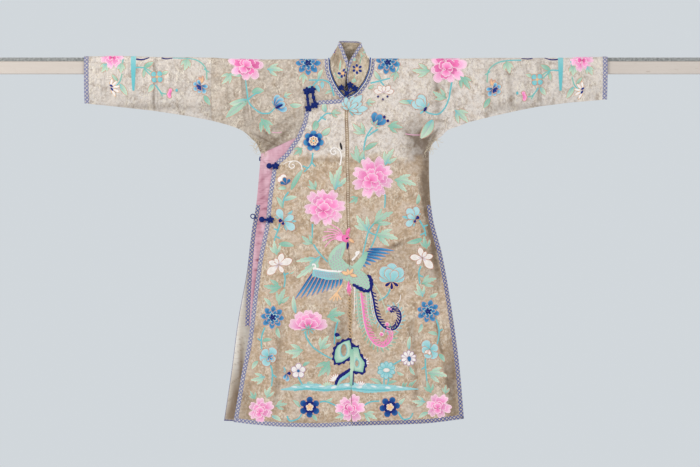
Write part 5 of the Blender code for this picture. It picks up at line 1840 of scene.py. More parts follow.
def stem(work, points, width=4.2, silks="leaf turquoise", base=0.05, puff=0.4, wavy=0.0):
    """A stem along a smooth line. Its width may change, and its edges may be scalloped."""
    path = even_path(smoothed(points), step=2.2 if wavy else 4.0)
    widths = width if hasattr(width, "__len__") else (width, width * 0.75)
    narrow = max(widths) < 7
    length = along_path(path)[:, None]
    share = length / length[-1]
    half = np.interp(share * (len(widths) - 1), range(len(widths)), widths) / 2
    t = np.array((-1.0, 0.0, 1.0) if narrow else (-1.0, -0.85, -0.45, 0.0, 0.45, 0.85, 1.0))
    scallop = 1 + wavy * abs(np.sin(length / 3.4)) * (abs(t) > 0.8)
    left = aside(path)
    x, z = (path[:, k, None] + left[:, k, None] * half * t * scallop for k in (0, 1))
    threads = (length, t * half) if narrow else (t * half, length)
    work.patch(x, z, base + puff * (1 - t**2), shades(silks, share), *threads)


def line(work, points, width=1.6, silk="gold", base=0.5):
    """A thin couched line."""
    stem(work, points, width, silk, base)


def curl(work, x, z, radius, turns, start, width=3.4, silk="white", base=0.2, sign=1):
    """A spiral scroll that winds in to its middle."""
    share = np.linspace(0, 1, int(14 * turns) + 4)
    angle = math.radians(start) + sign * share * turns * 2 * math.pi
    reach = radius * (1 - 0.86 * share)
    points = np.stack([x + reach * np.sin(angle), z + reach * np.cos(angle)], axis=1)
    stem(work, points, width, silk, base)


# Rings of a flower from the outside in: count, reach, half spread, lobes, bite, point, silks, edge
PEONY = (
    (8, 1.0, 21, 2, 0.13, 0.0, "crimson deep_rose rose pale_rose blush", "blush"),
    (6, 0.76, 27, 2, 0.12, 0.0, "deep_rose rose rose pale_rose", "blush"),
    (4, 0.5, 38, 3, 0.12, 0.0, "deep_rose deep_rose rose pale_rose", "blush"),
)
SMALL_PEONY = (
    (6, 1.0, 27, 2, 0.14, 0.0, "crimson deep_rose rose pale_rose blush", "blush"),
    (4, 0.66, 36, 2, 0.12, 0.0, "deep_rose rose pale_rose", "blush"),
    (2, 0.4, 60, 2, 0.1, 0.0, "crimson deep_rose rose", "blush"),
)
SHOULDER_PEONY = (
    (8, 1.0, 20, 1, 0.0, 0.0, "crimson deep_rose rose pale_rose blush", "blush"),
    (6, 0.72, 26, 2, 0.12, 0.0, "crimson deep_rose rose", "blush"),
    (3, 0.46, 48, 2, 0.12, 0.0, "crimson deep_rose rose", "blush"),
)
DAHLIA = (
    (8, 1.04, 22, 1, 0.0, 0.14, "royal blue blue sky", "rim"),
    (7, 0.66, 23, 1, 0.0, 0.16, "navy royal blue sky", "rim"),
    (5, 0.4, 29, 1, 0.0, 0.16, "navy royal blue", "pale_blue"),
)
BLUE_FLOWER = (
    (6, 1.0, 25, 1, 0.0, 0.0, "navy navy royal royal blue", "rim"),
    (6, 0.56, 25, 1, 0.0, 0.1, "navy", "navy"),
)
ROUND_FLOWER = (
    (7, 1.0, 26, 1, 0.0, 0.0, "blue blue blue sky", "rim"),
    (7, 0.7, 26, 1, 0.0, 0.0, "royal", "blue"),
)
PEACH_HEART = (1, 0.0, 0.0, "gold peach peach", "ivory")
WHITE_FLOWER = ((5, 1.0, 31, 1, 0.0, 0.0, "mauve white white", "mauve"),)
DAISY = ((10, 1.0, 17, 1, 0.0, 0.0, "mauve white white", "mauve"),)
AQUA_DAISY = ((10, 1.0, 19, 1, 0.0, 0.0, "turquoise aqua pale_blue", "turquoise"),)


def peony(work, x, z, radius, turn=0.0, rings=PEONY):
    """A full peony. A cup of two scalloped petals stands before its heart."""
    bloom(work, x, z, radius, rings, turn, 0.2, 0.1)
    cup = "deep_rose rose pale_rose"
    lean = math.radians(turn + 200)
    cup_x, cup_z = x + radius * 0.2 * math.sin(lean), z + radius * 0.2 * math.cos(lean)
    fan(work, cup_x, cup_z, turn + 20, radius * 0.42, 62, cup, 1.8, 4, 0.12, 0.0, 0.35, "blush")
    fan(work, cup_x, cup_z, turn + 200, radius * 0.4, 58, cup, 2.05, 3, 0.12, 0.0, 0.35, "blush")


def dahlia(work, x, z, radius, turn=0.0):
    """A blue flower of pointed petals, with dark dots at its heart."""
    bloom(work, x, z, radius, DAHLIA, turn, 0.2, 0.03)
    for k in range(8):
        place = away(x, z, 45 * k + turn, radius * (0.2 if k % 2 else 0.1))
        disc(work, *place, 2.4, 2.4, "navy", 2.0, 0, 0.4)


def blue_flower(work, x, z, radius, turn=0.0):
    """A six-petalled blue flower with a peach heart."""
    bloom(work, x, z, radius, BLUE_FLOWER, turn, 0.2, 0.02)
    bloom(work, x, z, radius * 0.33, ((5, 1.0, 32, *PEACH_HEART),), turn, 1.2)
    disc(work, x, z, radius * 0.13, radius * 0.13, "gold peach", 1.9, 0, 0.4)


def round_flower(work, x, z, radius, turn=0.0):
    """An eight-petalled blue flower with a dotted peach heart."""
    bloom(work, x, z, radius, ROUND_FLOWER, turn, 0.2)
    disc(work, x, z, radius * 0.3, radius * 0.3, "peach", 1.1)
    bloom(work, x, z, radius * 0.42, ((7, 1.0, 30, *PEACH_HEART),), turn, 1.2)
    for k in range(8):
        disc(work, *away(x, z, 45 * k, radius * 0.25), 1.4, 1.4, "navy", 1.9, 0, 0.3)
    disc(work, x, z, 3.0, 3.0, "turquoise", 1.9, 0, 0.4)


# Kinds of petal in a flower seen from the side: half spread, point, silks
SIDE_PETALS = {
    "thin": (12, 0.3, "turquoise turquoise aqua"),
    "full": (25, 0.08, "turquoise aqua pale_blue pale_blue"),
    "blue": (25, 0.08, "royal blue sky pale_blue"),
    "pointed": (19, 0.3, "turquoise aqua pale_blue pale_blue"),
    "round": (38, 0.0, "turquoise aqua pale_blue"),
    "white": (25, 0.2, "mauve white ivory white"),
    "dark": (34, 0.0, "royal navy"), "small": (22, 0.1, "mauve white white"),
}


def from_the_side(work, x, z, petals):
    """A flower as petals of its own lengths: turn, length, kind. Later ones lie on top."""
    for k, (turn, length, kind) in enumerate(petals):
        spread, point, silks = SIDE_PETALS[kind]
        fan(work, x, z, turn, length, spread, silks, 0.2 + 0.24 * k, 1, 0.0, point, 0.25)


def side_peony(work, x, z, radius):
    """A peony seen from the side, over its green cup."""
    for turn in (-140, -108, 104, 138, 176):
        fan(work, x, z, turn, radius * 0.42, 11, "leaf turquoise", 0.15, 1, 0.0, 0.5)
    rings = ((5, 1.0, 74), (4, 0.8, 50), (3, 0.56, 52))
    for row, (count, reach, side) in enumerate(rings):
        for k, turn in enumerate(np.linspace(-side, side, count)):
            fan(
                work, x, z, turn, radius * reach * chance.uniform(0.92, 1.04), 22 + 4 * row, PEONY[row][6],
                0.2 + 0.5 * row + 0.25 * (k % 2), 2, 0.08, 0.0, 0.25, "blush", chance.uniform(0.86, 1.04),
            )
    for turn in (-34, 0, 30):
        fan(work, x, z - 4, turn, radius * 0.3, 13, "leaf turquoise", 1.9, 1, 0.0, 0.5)


def star(work, x, z, radius, turn, rings, heart):
    """An open flower with a small heart."""
    bloom(work, x, z, radius, rings, turn, 0.2, 0.03)
    disc(work, x, z, radius * 0.2, radius * 0.2, heart, 1.4, 0, 0.4, "rim")


def lotus(work, x, z, radius, turn=0.0):
    """A side view of an opening flower with dark sepals below."""
    shape = ((-56, 0.9), (56, 0.92), (0, 1.26), (-31, 1.18), (33, 1.14), (-15, 0.94), (17, 0.84))
    silks = "turquoise aqua aqua pale_blue"
    for k, (side, reach) in enumerate(shape):
        fan(work, x, z, turn + side, radius * reach, 26, silks, 0.2 + 0.26 * k, 1, 0.0, 0.04, 0.25)
    for side in (-54, 0, 54):
        fan(work, x, z + 6, turn + 180 + side, radius * 0.52, 17, "navy", 2.2, 1, 0.0, 0.1, 0.4, "peach")


def bud(work, x, z, radius, turn=0.0, silks="royal blue sky", sepals="turquoise mint"):
    """A closed bud in its sepals."""
    for side in (-30, 30, 0):
        fan(work, x, z, turn + side, radius, 21, silks, 0.3 + 0.25 * (side == 0), 1, 0.0, 0.08)
    for side in (-62, 0, 62):
        fan(work, x, z, turn + side, radius * 0.5, 15, sepals, 0.8, 1, 0.0, 0.4)


# Larger flowers of the front: maker, x, z, radius, turn
FRONT_FLOWERS = (
    (peony, 74, -314, 61, 20), (peony, -64, -397, 58, -8), (blue_flower, -106, -965, 31, 0),
    (blue_flower, 122, -965, 31, 20), (round_flower, -95, -209, 31, 0), (dahlia, -111, 13, 36, 0),
    (dahlia, 116, 15, 35, 12), (bud, 76, -166, 40, 35), (dahlia, -211, -710, 33, 5),
    (dahlia, 231, -693, 33, 14), (lotus, 127, -614, 47, 0),
)
# Peonies of other kinds: rings, x, z, radius, turn
OTHER_PEONIES = (
    (SHOULDER_PEONY, -284, 10, 50, 10), (SHOULDER_PEONY, 284, 4, 52, -12), (SMALL_PEONY, -245, -973, 38, 0),
    (SMALL_PEONY, 9, -968, 42, 24), (SMALL_PEONY, 258, -961, 38, -18),
)
# Open flowers of the front: rings, x, z, radius, turn, heart
FRONT_STARS = (
    (WHITE_FLOWER, -138, -862, 21, 0, "blue"),
    (DAISY, 175, -826, 22, 0, "blue"), (AQUA_DAISY, 112, -860, 25, 0, "white"),
)
# Dark stamens that stand beside flowers: x, z, half width, half height, turn
FRONT_STAMENS = (
    (222, -119, 4.0, 8.0, 30), (106, -141, 4.2, 4.6, 0), (116, -152, 4.2, 4.4, 0), (88, -83, 3.0, 3.4, 20),
    (102, -91, 2.6, 3.4, 0), (115, -83, 3.0, 3.4, -20),
)

# Flowers seen from the side: x, z, and the turn, length and kind of each petal
SIDE_FLOWERS = (
    (
        -181, -437,
        (
            (-57, 30, "thin"), (41, 43, "thin"), (90, 40, "thin"), (159, 31, "thin"), (-24, 39, "full"),
            (126, 41, "full"), (64, 34, "full"), (-80, 15, "dark"), (186, 12, "dark"),
        ),
    ),
    (
        195, -432,
        (
            (-78, 42, "thin"), (-163, 24, "thin"), (38, 25, "thin"), (3, 38, "full"), (-122, 34, "full"),
            (-38, 40, "full"), (-62, 27, "full"), (48, 14, "dark"), (200, 11, "dark"),
        ),
    ),
    (
        -194, -561,
        (
            (-129, 43, "white"), (150, 26, "white"), (18, 35, "white"), (69, 42, "white"),
            (-73, 31, "white"), (-30, 22, "white"),
        ),
    ),
    (
        -207, -111,
        (
            (-20, 20, "thin"), (128, 26, "thin"), (104, 40, "blue"), (20, 37, "blue"), (48, 36, "blue"),
            (76, 34, "blue"),
        ),
    ),
    (
        226, -116,
        (
            (-130, 28, "thin"), (27, 20, "thin"), (-96, 30, "thin"), (-70, 46, "full"), (-29, 45, "full"),
            (-50, 40, "full"),
        ),
    ),
    (
        4, -122,
        (
            (-66, 26, "thin"), (-38, 34, "pointed"), (104, 42, "pointed"), (-12, 42, "pointed"),
            (140, 24, "thin"), (84, 58, "pointed"), (20, 46, "pointed"), (62, 46, "pointed"),
            (42, 60, "pointed"), (-60, 20, "pointed"), (4, 28, "pointed"), (96, 28, "pointed"),
            (52, 34, "pointed"),
        ),
    ),
    (
        -222, -822,
        (
            (-40, 23, "thin"), (90, 20, "thin"), (35, 31, "round"), (-100, 28, "round"),
            (205, 29, "round"), (-40, 27, "round"), (120, 22, "round"), (128, 17, "blue"),
            (70, 16, "blue"), (190, 14, "blue"),
        ),
    ),
    (
        235, -802,
        (
            (-80, 26, "thin"), (10, 22, "thin"), (145, 31, "round"), (70, 26, "round"),
            (-35, 31, "round"), (200, 27, "round"), (-95, 24, "round"), (-125, 17, "small"),
            (-150, 14, "small"), (-175, 15, "small"),
        ),
    ),
    (
        -172, -869,
        ((-22, 23, "thin"), (-50, 14, "thin"), (172, 25, "blue"), (204, 20, "blue"), (90, 14, "dark")),
    ),
    (
        104, -72,
        (
            (-78, 29, "white"), (80, 30, "white"), (-38, 26, "white"), (44, 27, "white"),
            (4, 20, "white"),
        ),
    ),
    (
        214, -541,
        (
            (135, 43, "white"), (-140, 25, "white"), (-15, 31, "white"), (-87, 36, "white"),
            (80, 31, "white"), (32, 21, "white"),
        ),
    ),
)

front_flowers = Needlework(on_front)
for x, z, petals in SIDE_FLOWERS:
    from_the_side(front_flowers, x, z, petals)
side_peony(front_flowers, -110, -741, 56)
for maker, x, z, radius, turn in FRONT_FLOWERS:
    maker(front_flowers, x, z, radius, turn)
for rings, x, z, radius, turn in OTHER_PEONIES:
    peony(front_flowers, x, z, radius, turn, rings)
for rings, x, z, radius, turn, heart in FRONT_STARS:
    star(front_flowers, x, z, radius, turn, rings, heart)
for x, z, wide, high, turn in FRONT_STAMENS:
    disc(front_flowers, x, z, wide, high, "navy", 1.8, turn, 0.4, "peach")
for turn in (-52, -24):
    fan(front_flowers, -172, -332, turn, 31, 24, "mauve white white", 0.3)
for turn in (-66, -18, 30):
    fan(front_flowers, -172, -334, turn, 23 - abs(turn + 18) * 0.06, 20, "royal blue blue", 0.9)
disc(front_flowers, -193, -111, 3.4, 12, "navy", 2.0, 62, 0.5)
leaf(front_flowers, 200, -101, 170, -94, 15, 2, "turquoise aqua turquoise")
disc(front_flowers, 177, -828, 5.0, 8.0, "blue", 1.7, 0, 0.4, "rim")
disc(front_flowers, 112, -860, 9.5, 6.0, "white ivory", 1.7, 0, 0.4, "rim")
front_flowers.make("front_flower_embroidery")

# Leaves with three lobes: root x, z, tip x, z
FRONT_SPRIGS = (
    (-227, -5, -182, -8), (-329, -16, -355, -47), (-244, -145, -219, -189), (-46, -131, -17, -130),
    (-180, -84, -158, -74), (-124, -16, -125, -47), (-128, -229, -151, -249), (-88, -348, -108, -320),
    (-34, -348, -16, -280), (-199, -533, -207, -493), (-187, -624, -236, -621), (-193, -675, -176, -629),
    (-233, -879, -273, -888), (-227, -939, -216, -905), (-260, -942, -275, -919), (-204, -962, -170, -956),
    (-6, -984, -34, -996), (-125, -803, -176, -808), (-57, -709, -6, -698), (-97, -502, -128, -479),
    (-77, -537, -143, -598), (-76, -802, -52, -762), (-50, -834, -82, -878),
    (139, -10, 133, -39), (54, -101, 81, -98), (51, -189, 17, -161), (116, -167, 158, -171),
    (283, -88, 244, -69), (307, -121, 344, -155), (235, -10, 186, -8), (321, -25, 349, -61),
    (36, -272, 26, -223), (108, -277, 132, -232), (135, -319, 196, -334), (31, -368, 7, -385),
    (76, -444, 130, -411), (61, -466, 27, -421), (84, -476, 144, -487), (227, -516, 219, -480),
    (212, -615, 254, -600), (216, -652, 199, -615), (230, -868, 284, -877), (239, -925, 227, -891),
    (280, -928, 281, -902), (223, -950, 185, -948), (48, -983, 85, -999),
)
# Simple leaves: root x, z, tip x, z, width
FRONT_LEAVES = (
    (-284, -92, -334, -104, 17), (-284, -95, -344, -142, 20), (-87, -152, -95, -180, 16),
    (-72, -192, -48, -172, 15), (-62, -127, -64, -99, 14), (-299, -24, -336, -20, 11),
    (-270, -70, -236, -66, 17), (-162, -107, -128, -107, 13), (-82, -33, -68, -5, 10),
    (-43, -67, -62, -76, 8), (-159, -348, -125, -289, 13), (-173, -344, -196, -345, 10),
    (-179, -377, -142, -368, 12), (-182, -399, -200, -368, 11), (-193, -502, -151, -507, 14),
    (-216, -678, -236, -655, 10), (-146, -698, -152, -649, 12), (-199, -740, -190, -769, 11),
    (-239, -777, -213, -773, 10), (-253, -834, -270, -857, 11), (-213, -990, -187, -1004, 11),
    (-133, -965, -153, -945, 10), (-102, -987, -85, -1004, 10), (-60, -948, -40, -939, 8),
    (-114, -896, -94, -898, 8), (-128, -905, -156, -905, 9), (-125, -848, -105, -837, 9),
    (-162, -586, -150, -578, 5), (95, -35, 78, -10, 11), (60, -60, 76, -50, 9), (51, -235, 87, -214, 12),
    (178, -101, 148, -98, 11), (244, -150, 210, -201, 24), (199, -388, 204, -360, 11),
    (214, -487, 170, -499, 13), (236, -652, 258, -641, 10), (213, -729, 203, -754, 10),
    (257, -760, 230, -753, 10), (261, -814, 277, -836, 11), (230, -980, 203, -996, 11),
    (145, -963, 165, -940, 10), (98, -899, 65, -884, 10), (116, -899, 142, -891, 8),
    (142, -865, 162, -874, 8), (176, -801, 179, -764, 10), (179, -851, 193, -874, 9),
)
# Stems: x and z of the points they pass
FRONT_STEMS = (
    ((-290, -30), (-284, -70), (-278, -101), (-250, -127), (-230, -131), (-216, -127), (-196, -104)),
    ((-37, -81), (-48, -47), (-67, -36), (-81, -36), (-108, -36)), ((-81, -36), (-92, -46), (-100, -58)),
    ((-83, -156), (-61, -133), (-43, -131)), ((-76, -141), (-60, -149)),
    ((-246, -72), (-262, -76), (-282, -92)), ((-97, -243), (-102, -274), (-122, -297)),
    ((-102, -268), (-90, -282)), ((-112, -286), (-126, -280)), ((-166, -354), (-179, -374), (-182, -399)),
    ((-190, -443), (-196, -463), (-204, -483), (-206, -493)), ((-196, -463), (-208, -458)),
    ((-203, -480), (-190, -486)), ((-185, -569), (-176, -597), (-179, -625)),
    ((-179, -590), (-166, -584)), ((-233, -739), (-242, -763), (-243, -791), (-241, -803)),
    ((-243, -777), (-254, -770)), ((-222, -840), (-214, -854), (-212, -878), (-214, -906)),
    ((-212, -872), (-200, -880)), ((-170, -990), (-162, -1004), (-139, -998), (-128, -984)),
    ((-81, -952), (-60, -949), (-27, -963)), ((-138, -879), (-130, -896), (-122, -906)),
    ((-118, -752), (-114, -769), (-97, -794), (-71, -813), (-43, -828)),
    ((-26, -720), (-34, -754), (-36, -786)), ((-98, -445), (-99, -485)),
    ((-95, -503), (-79, -527), (-55, -553)), ((139, 19), (147, 6), (141, -12)),
    ((67, -45), (95, -38), (122, -31)), ((95, -40), (112, -60)),
    ((72, -170), (55, -198), (48, -233), (49, -272)), ((88, -176), (72, -186), (60, -196)),
    ((298, -42), (293, -68), (289, -90), (278, -115), (258, -133), (228, -128), (212, -112)),
    ((98, -351), (108, -363), (107, -399)), ((78, -442), (62, -464), (52, -500), (44, -535)),
    ((92, -448), (74, -500), (50, -545)), ((61, -466), (74, -474), (86, -476)),
    ((206, -434), (220, -459), (224, -479)), ((216, -452), (230, -448)), ((222, -470), (208, -476)),
    ((210, -565), (204, -583), (207, -615)), ((204, -590), (217, -596)),
    ((124, -627), (112, -649), (90, -663)), ((253, -716), (261, -741), (261, -764), (256, -787)),
    ((261, -750), (272, -744)), ((223, -816), (223, -848), (227, -891)), ((223, -850), (212, -858)),
    ((145, -979), (159, -999), (179, -996), (187, -982)), ((44, -963), (67, -950), (92, -948)),
    ((105, -884), (105, -905)), ((119, -884), (114, -905)), ((131, -845), (156, -830)),
)
LEAF_SILKS = (
    "turquoise mint pale_mint", "leaf mint pale_mint", "leaf leaf mint", "deep_leaf mint mint",
)


def branches(work, way):
    """The stems and leaves among the flowers. The back has them in mirror image."""
    for points in FRONT_STEMS:
        stem(work, [(x * way, z) for x, z in points], 4.6, "turquoise")
    for k, (x0, z0, x1, z1) in enumerate(FRONT_SPRIGS):
        sprig(work, x0 * way, z0, x1 * way, z1, None, LEAF_SILKS[k % 4])
    for k, (x0, z0, x1, z1, width) in enumerate(FRONT_LEAVES):
        bend = 2.0 - 4.0 * (k % 2)
        leaf(work, x0 * way, z0, x1 * way, z1, width * 1.15, bend, LEAF_SILKS[k * 3 % 4])


front_leaves = Needlework(on_front)
branches(front_leaves, 1)
front_leaves.make("front_leaf_embroidery")

# White scrolls, the short marks and the pink threads of the front: tendrils that wind in to a
# spiral, a dark repair beside the seam, and loose pink tacking under the arms.
front_scrolls = Needlework(on_front)
stem(front_scrolls, ((-127, -291), (-131, -276), (-142, -267), (-156, -266)), 3.0, "white", 0.25)
curl(front_scrolls, -155, -279, 12, 1.2, 0, 3.0, "white", 0.25, -1)
stem(front_scrolls, ((-181, -276), (-172, -270), (-156, -266)), 2.6, "ivory white", 0.25)
stem(front_scrolls, ((-20, -278), (-16, -256), (-20, -238), (-32, -228)), 4.2, "white", 0.25)
curl(front_scrolls, -37, -240, 12, 1.2, 20, 3.4, "white", 0.25, -1)
disc(front_scrolls, -17, -224, 3.2, 11, "ink", 0.4, -14, 0.6)
line(front_scrolls, ((-213, -184), (-200, -186), (-185, -184)), 1.4, "pale_rose", 0.3)
line(front_scrolls, ((166, -189), (186, -192), (208, -192)), 1.8, "pale_rose", 0.3)
for x, z, lean in ((-102, -52, -8), (-88, -50, 6), (-70, -40, 0)):
    leaf(front_scrolls, x, z, x + lean * 1.6, z - 20, 12, 0, "turquoise aqua aqua")
front_scrolls.make("front_scroll_embroidery")

# The phoenix: a traditional bird among peonies, with its own pose here. The body is laid in pale
# green with small mauve knots for scales, the flight feathers are blue, and the tail is two plumes.
PHOENIX_BODY = ((-4, -500), (-22, -520), (-33, -546), (-16, -572), (16, -590), (42, -606), (62, -628))
PHOENIX_BODY_WIDTHS = (14, 32, 42, 42, 46, 44, 24)
# Plumes of the tail: points, quill silk, inner and outer barb silk, barb length
PHOENIX_PLUMES = (
    (((26, -622), (31, -660), (33, -700), (42, -742)), "mint", "mint", "leaf", 9),
    (((56, -630), (60, -665), (62, -700), (72, -734)), "mint", "leaf", "mint", 10),
    (
        (
            (40, -640), (46, -688), (51, -724), (62, -761), (84, -788), (108, -791), (127, -770),
            (128, -750), (112, -740),
        ),
        "rose", "rose", "leaf", 16,
    ),
    (
        (
            (68, -630), (76, -664), (80, -690), (88, -716), (103, -736), (122, -746), (140, -740),
            (153, -714), (147, -688), (131, -679), (121, -687), (127, -697),
        ),
        "navy", "navy", "aqua", 13,
    ),
)
# Ends of the flight feathers of the bird's left wing: x, z
LEFT_WING_TIPS = ((134, -521), (122, -530), (111, -538), (99, -546), (83, -553), (68, -561), (54, -567))


def plume(work, points, quill, inner, outer, length):
    """A long tail feather with fine barbs along both sides."""
    path = even_path(smoothed(points), step=10.0)
    left = aside(path)
    ahead = np.stack([left[:, 1], -left[:, 0]], axis=1)
    for k in range(1, len(path) - 1):
        for side, silk in ((1, inner), (-1, outer)):
            reach = length * (0.7 + 0.3 * math.sin(math.pi * k / len(path))) * chance.uniform(0.9, 1.1)
            start = path[k] + left[k] * side * 2.0
            end = path[k] + left[k] * side * reach + ahead[k] * reach * 0.6
            line(work, (start, end), 4.2 if silk == "navy" else 3.3, silk, 0.25)
    stem(work, points, (3.0, 3.0) if quill == "mint" else (6.0, 5.0, 4.0), quill, 0.5)
    line(work, (path - left * 3.6)[::3], 1.8, "ivory", 0.6)


def wing(work, joint, wrist, feathers, turns, reach, covert, sign):
    """A spread wing: blue flight feathers below a pale covert with a white leading edge."""
    joint, wrist = np.array(joint, dtype=float), np.array(wrist, dtype=float)
    across = wrist - joint
    for share in np.linspace(0.0, 1.0, feathers):
        x, z = joint + across * (0.06 + 0.92 * share)
        tip = away(x, z, np.interp(share, (0, 1), turns), np.interp(share, (0, 1), reach))
        leaf(work, x, z, *tip, 8.0, 1.5, "royal blue sky", 0.0, 0.2, "sky")
    bow = unit(np.array((-across[1], across[0]))) * covert * sign
    middle = (joint + wrist) / 2 - bow * 0.2
    stem(work, (joint, middle, wrist), (18, 26, 19), "mint aqua aqua", 0.7, 0.7, 0.12)
    for share in np.arange(0.08, 0.94, 0.075):
        for slip in (-8.0, -3.0, 2.0):
            x, z = joint + across * (share + 0.004 * slip) + bow * 0.02 + np.array((0.0, slip))
            disc(work, x, z, 1.7, 1.7, "mauve", 2.1, 0, 0.2)
    upper = np.array((joint, middle, wrist)) + bow * 0.85
    stem(work, upper, (5.4, 5.4, 5.4), "white", 1.3)
    curl(work, upper[-1][0], upper[-1][1] + 7, 10, 0.7, 180, 5.4, "white", 1.3, sign)


phoenix = Needlework(on_front)
for points, quill, inner, outer, length in PHOENIX_PLUMES:
    plume(phoenix, points, quill, inner, outer, length)
for x, z in ((112, -736), (118, -692), (96, -764)):
    fan(phoenix, x, z, 20, 12, 40, "deep_rose rose", 0.6, 3, 0.14, 0.0, 0.5, "blush")
line(phoenix, ((20, -620), (22, -660), (20, -700)), 2.6, "white", 0.4)
line(phoenix, ((66, -640), (69, -680), (76, -710)), 2.4, "ivory", 0.6)
line(phoenix, ((70, -606), (92, -640), (104, -672), (112, -700)), 2.2, "pale_mint", 0.4)
line(phoenix, ((140, -672), (150, -662), (152, -646)), 2.4, "white", 0.4)
for k, (x, z) in enumerate(LEFT_WING_TIPS):
    leaf(phoenix, 61 - 5 * k, -516 - 6.6 * k, x, z, 8.5, 1.5, "royal blue sky", 0.0, 0.2, "sky")
stem(phoenix, ((6, -584), (30, -566), (46, -544), (56, -524)), (16, 24, 20, 8), "mint mint leaf", 0.6, 0.6)
stem(phoenix, ((14, -548), (24, -538), (34, -526)), 5.4, "white", 1.0)
curl(phoenix, 29, -530, 7, 0.7, 60, 6.0, "white", 1.1, -1)
stem(phoenix, PHOENIX_BODY, PHOENIX_BODY_WIDTHS, "mint", 0.6, 0.8)
for row, share in enumerate(np.linspace(0.14, 0.94, 21)):
    x, z = through(PHOENIX_BODY, np.array(share * 6))
    half = np.interp(share * 6, range(7), PHOENIX_BODY_WIDTHS) / 2 - 4.0
    for slip in np.arange(-half + 4.0 * (row % 2), half + 0.1, 8.0):
        lean = math.radians(60 if share < 0.55 else 42)
        disc(phoenix, x + slip * math.sin(lean), z + slip * math.cos(lean), 1.7, 1.7, "mauve", 1.5, 0, 0.3)
rump = ((16, -616), (30, -624), (46, -632), (60, -633), (69, -618), (66, -598), (58, -590))
stem(phoenix, rump, (5, 8, 9, 9, 9, 8, 5), "navy", 0.9, 0.5, 0.5)
wing(phoenix, (-10, -592), (-98, -582), 10, (190, 214), (30, 92), 14, -1)
fan(phoenix, 4, -604, 176, 48, 13, "deep_rose rose deep_rose", 1.4, 3, 0.12, 0.2, 0.5, "blush")
for turn, reach in ((-70, 24), (-20, 18), (30, 20), (100, 22)):
    fan(phoenix, 7, -589, turn, reach, 22, "gold peach peach", 2.3, 1, 0.0, 0.3)
for toe in (-15, -4, 7, 18):
    line(
        phoenix, ((-30, -640), (-32 + toe * 0.6, -653), (-35 + toe, -665 + abs(toe) * 0.3)), 4.4, "peach",
        0.6,
    )
line(phoenix, ((-14, -618), (-22, -630), (-30, -642)), 5.2, "peach", 0.6)
for k in range(6):
    turn = math.radians(-34 - 17 * k)
    tip = (-14 + 56 * math.sin(turn), -484 + 46 * math.cos(turn) - 4 * (k % 2))
    bent = (-14 + 28 * math.sin(turn + 0.3), -484 + 24 * math.cos(turn + 0.3))
    stem(phoenix, ((-8, -486), bent, tip), (4.4, 2.8, 2.4), "rose pale_rose", 0.8)
disc(phoenix, -18, -486, 14, 8, "pale_rose", 1.1, 8, 0.5)
disc(phoenix, -4, -486, 13, 11, "rose deep_rose", 1.4, 20, 0.6, "blush")
leaf(phoenix, 0, -480, 8, -456, 11, 2, "rose deep_rose rose", 0.3, 1.6, "blush")
leaf(phoenix, 4, -488, 20, -498, 7, 1, "gold peach gold", 0.0, 1.6, "gold")
disc(phoenix, 0, -486, 2.0, 4.6, "ink", 2.2, 60, 0.3, "white")
leaf(phoenix, 2, -496, 0, -518, 8, 1, "navy", 0.0, 1.5, "navy")
phoenix.make("phoenix_embroidery")

# The rock and the ground: a pierced garden rock edged in navy, on a strip of turquoise shore with
# grass, small white sprays and the foot of every stem.
# Plates of the rock: middle, half sizes of the hole, and the outline from the middle
ROCK_PLATES = (
    (
        -9, -803, 8, 17,
        (
            (16, 28), (1, 24), (-17, 13), (-24, 0), (-27, -22), (-22, -36), (-6, -34), (8, -25),
            (21, -15), (21, 10),
        ),
    ),
    (28, -841, 5, 9, ((-14, 46), (4, 45), (9, 22), (22, 2), (17, -25), (-7, -21), (-13, 6))),
)


def plate(work, x, z, wide, high, outline):
    """A mint plate round a hole, with a spiked navy edge."""
    corners = np.array(outline + outline[:1])
    share = np.linspace(0, len(outline), 12 * len(outline) + 1)
    edge = np.stack([np.interp(share, range(len(corners)), column) for column in corners.T], axis=1)
    angle = np.arctan2(edge[:, 0], edge[:, 1])
    hole = np.stack([wide * np.sin(angle), high * np.cos(angle)], axis=1)
    along = along_path(edge)
    outer = edge * (1 + (5.0 + 4.5 * np.sin(along / 4.2) ** 2) / np.hypot(*edge.T))[:, None]
    rows = np.array((0.0, 0.3, 0.7, 1.0))[:, None]
    for start, end, silks, foot, puff in (
        (hole, edge, "turquoise pale_mint mint leaf", 0.9, 0.4), (edge, outer, "navy", 0.6, 0.7),
    ):
        off_x, off_z = (start[:, k] + (end - start)[:, k] * rows for k in (0, 1))
        raised = foot + puff * np.sin(math.pi * rows)
        work.patch(x + off_x, z + off_z, raised, shades(silks, rows), along, rows * 8)


rock = Needlework(on_front)
stem(rock, ((13, -800), (14, -850), (12, -904)), (10, 11, 9), "leaf pale_mint leaf", 1.3, 0.5)
stem(rock, ((17, -862), (16, -902)), (5, 4.5), "navy", 1.2, 0.5)
stem(rock, ((12, -866), (-4, -878), (-20, -889), (-27, -904)), (8, 9, 9, 7), "leaf aqua mint", 0.9, 0.5)
stem(rock, ((12, -856), (-6, -868), (-23, -881), (-32, -902)), (6, 8, 8, 7.2), "navy", 1.0, 0.6, 0.3)
for middle_x, middle_z, wide, high, outline in ROCK_PLATES:
    plate(rock, middle_x, middle_z, wide, high, outline)
disc(rock, -28, -760, 7.5, 6, "navy", 0.5, 20, 0.5)
disc(rock, -24, -768, 7, 4, "leaf mint", 0.6, -10, 0.5)


def spray(work, x, z, turns, count, near, far, width, silks):
    """Thin petals that spread like a half daisy."""
    for turn in np.linspace(*turns, count):
        ends = (*away(x, z, turn, near), *away(x, z, turn, far))
        leaf(work, *ends, width, 0, silks, 0.0, 0.3, silks.split()[0])


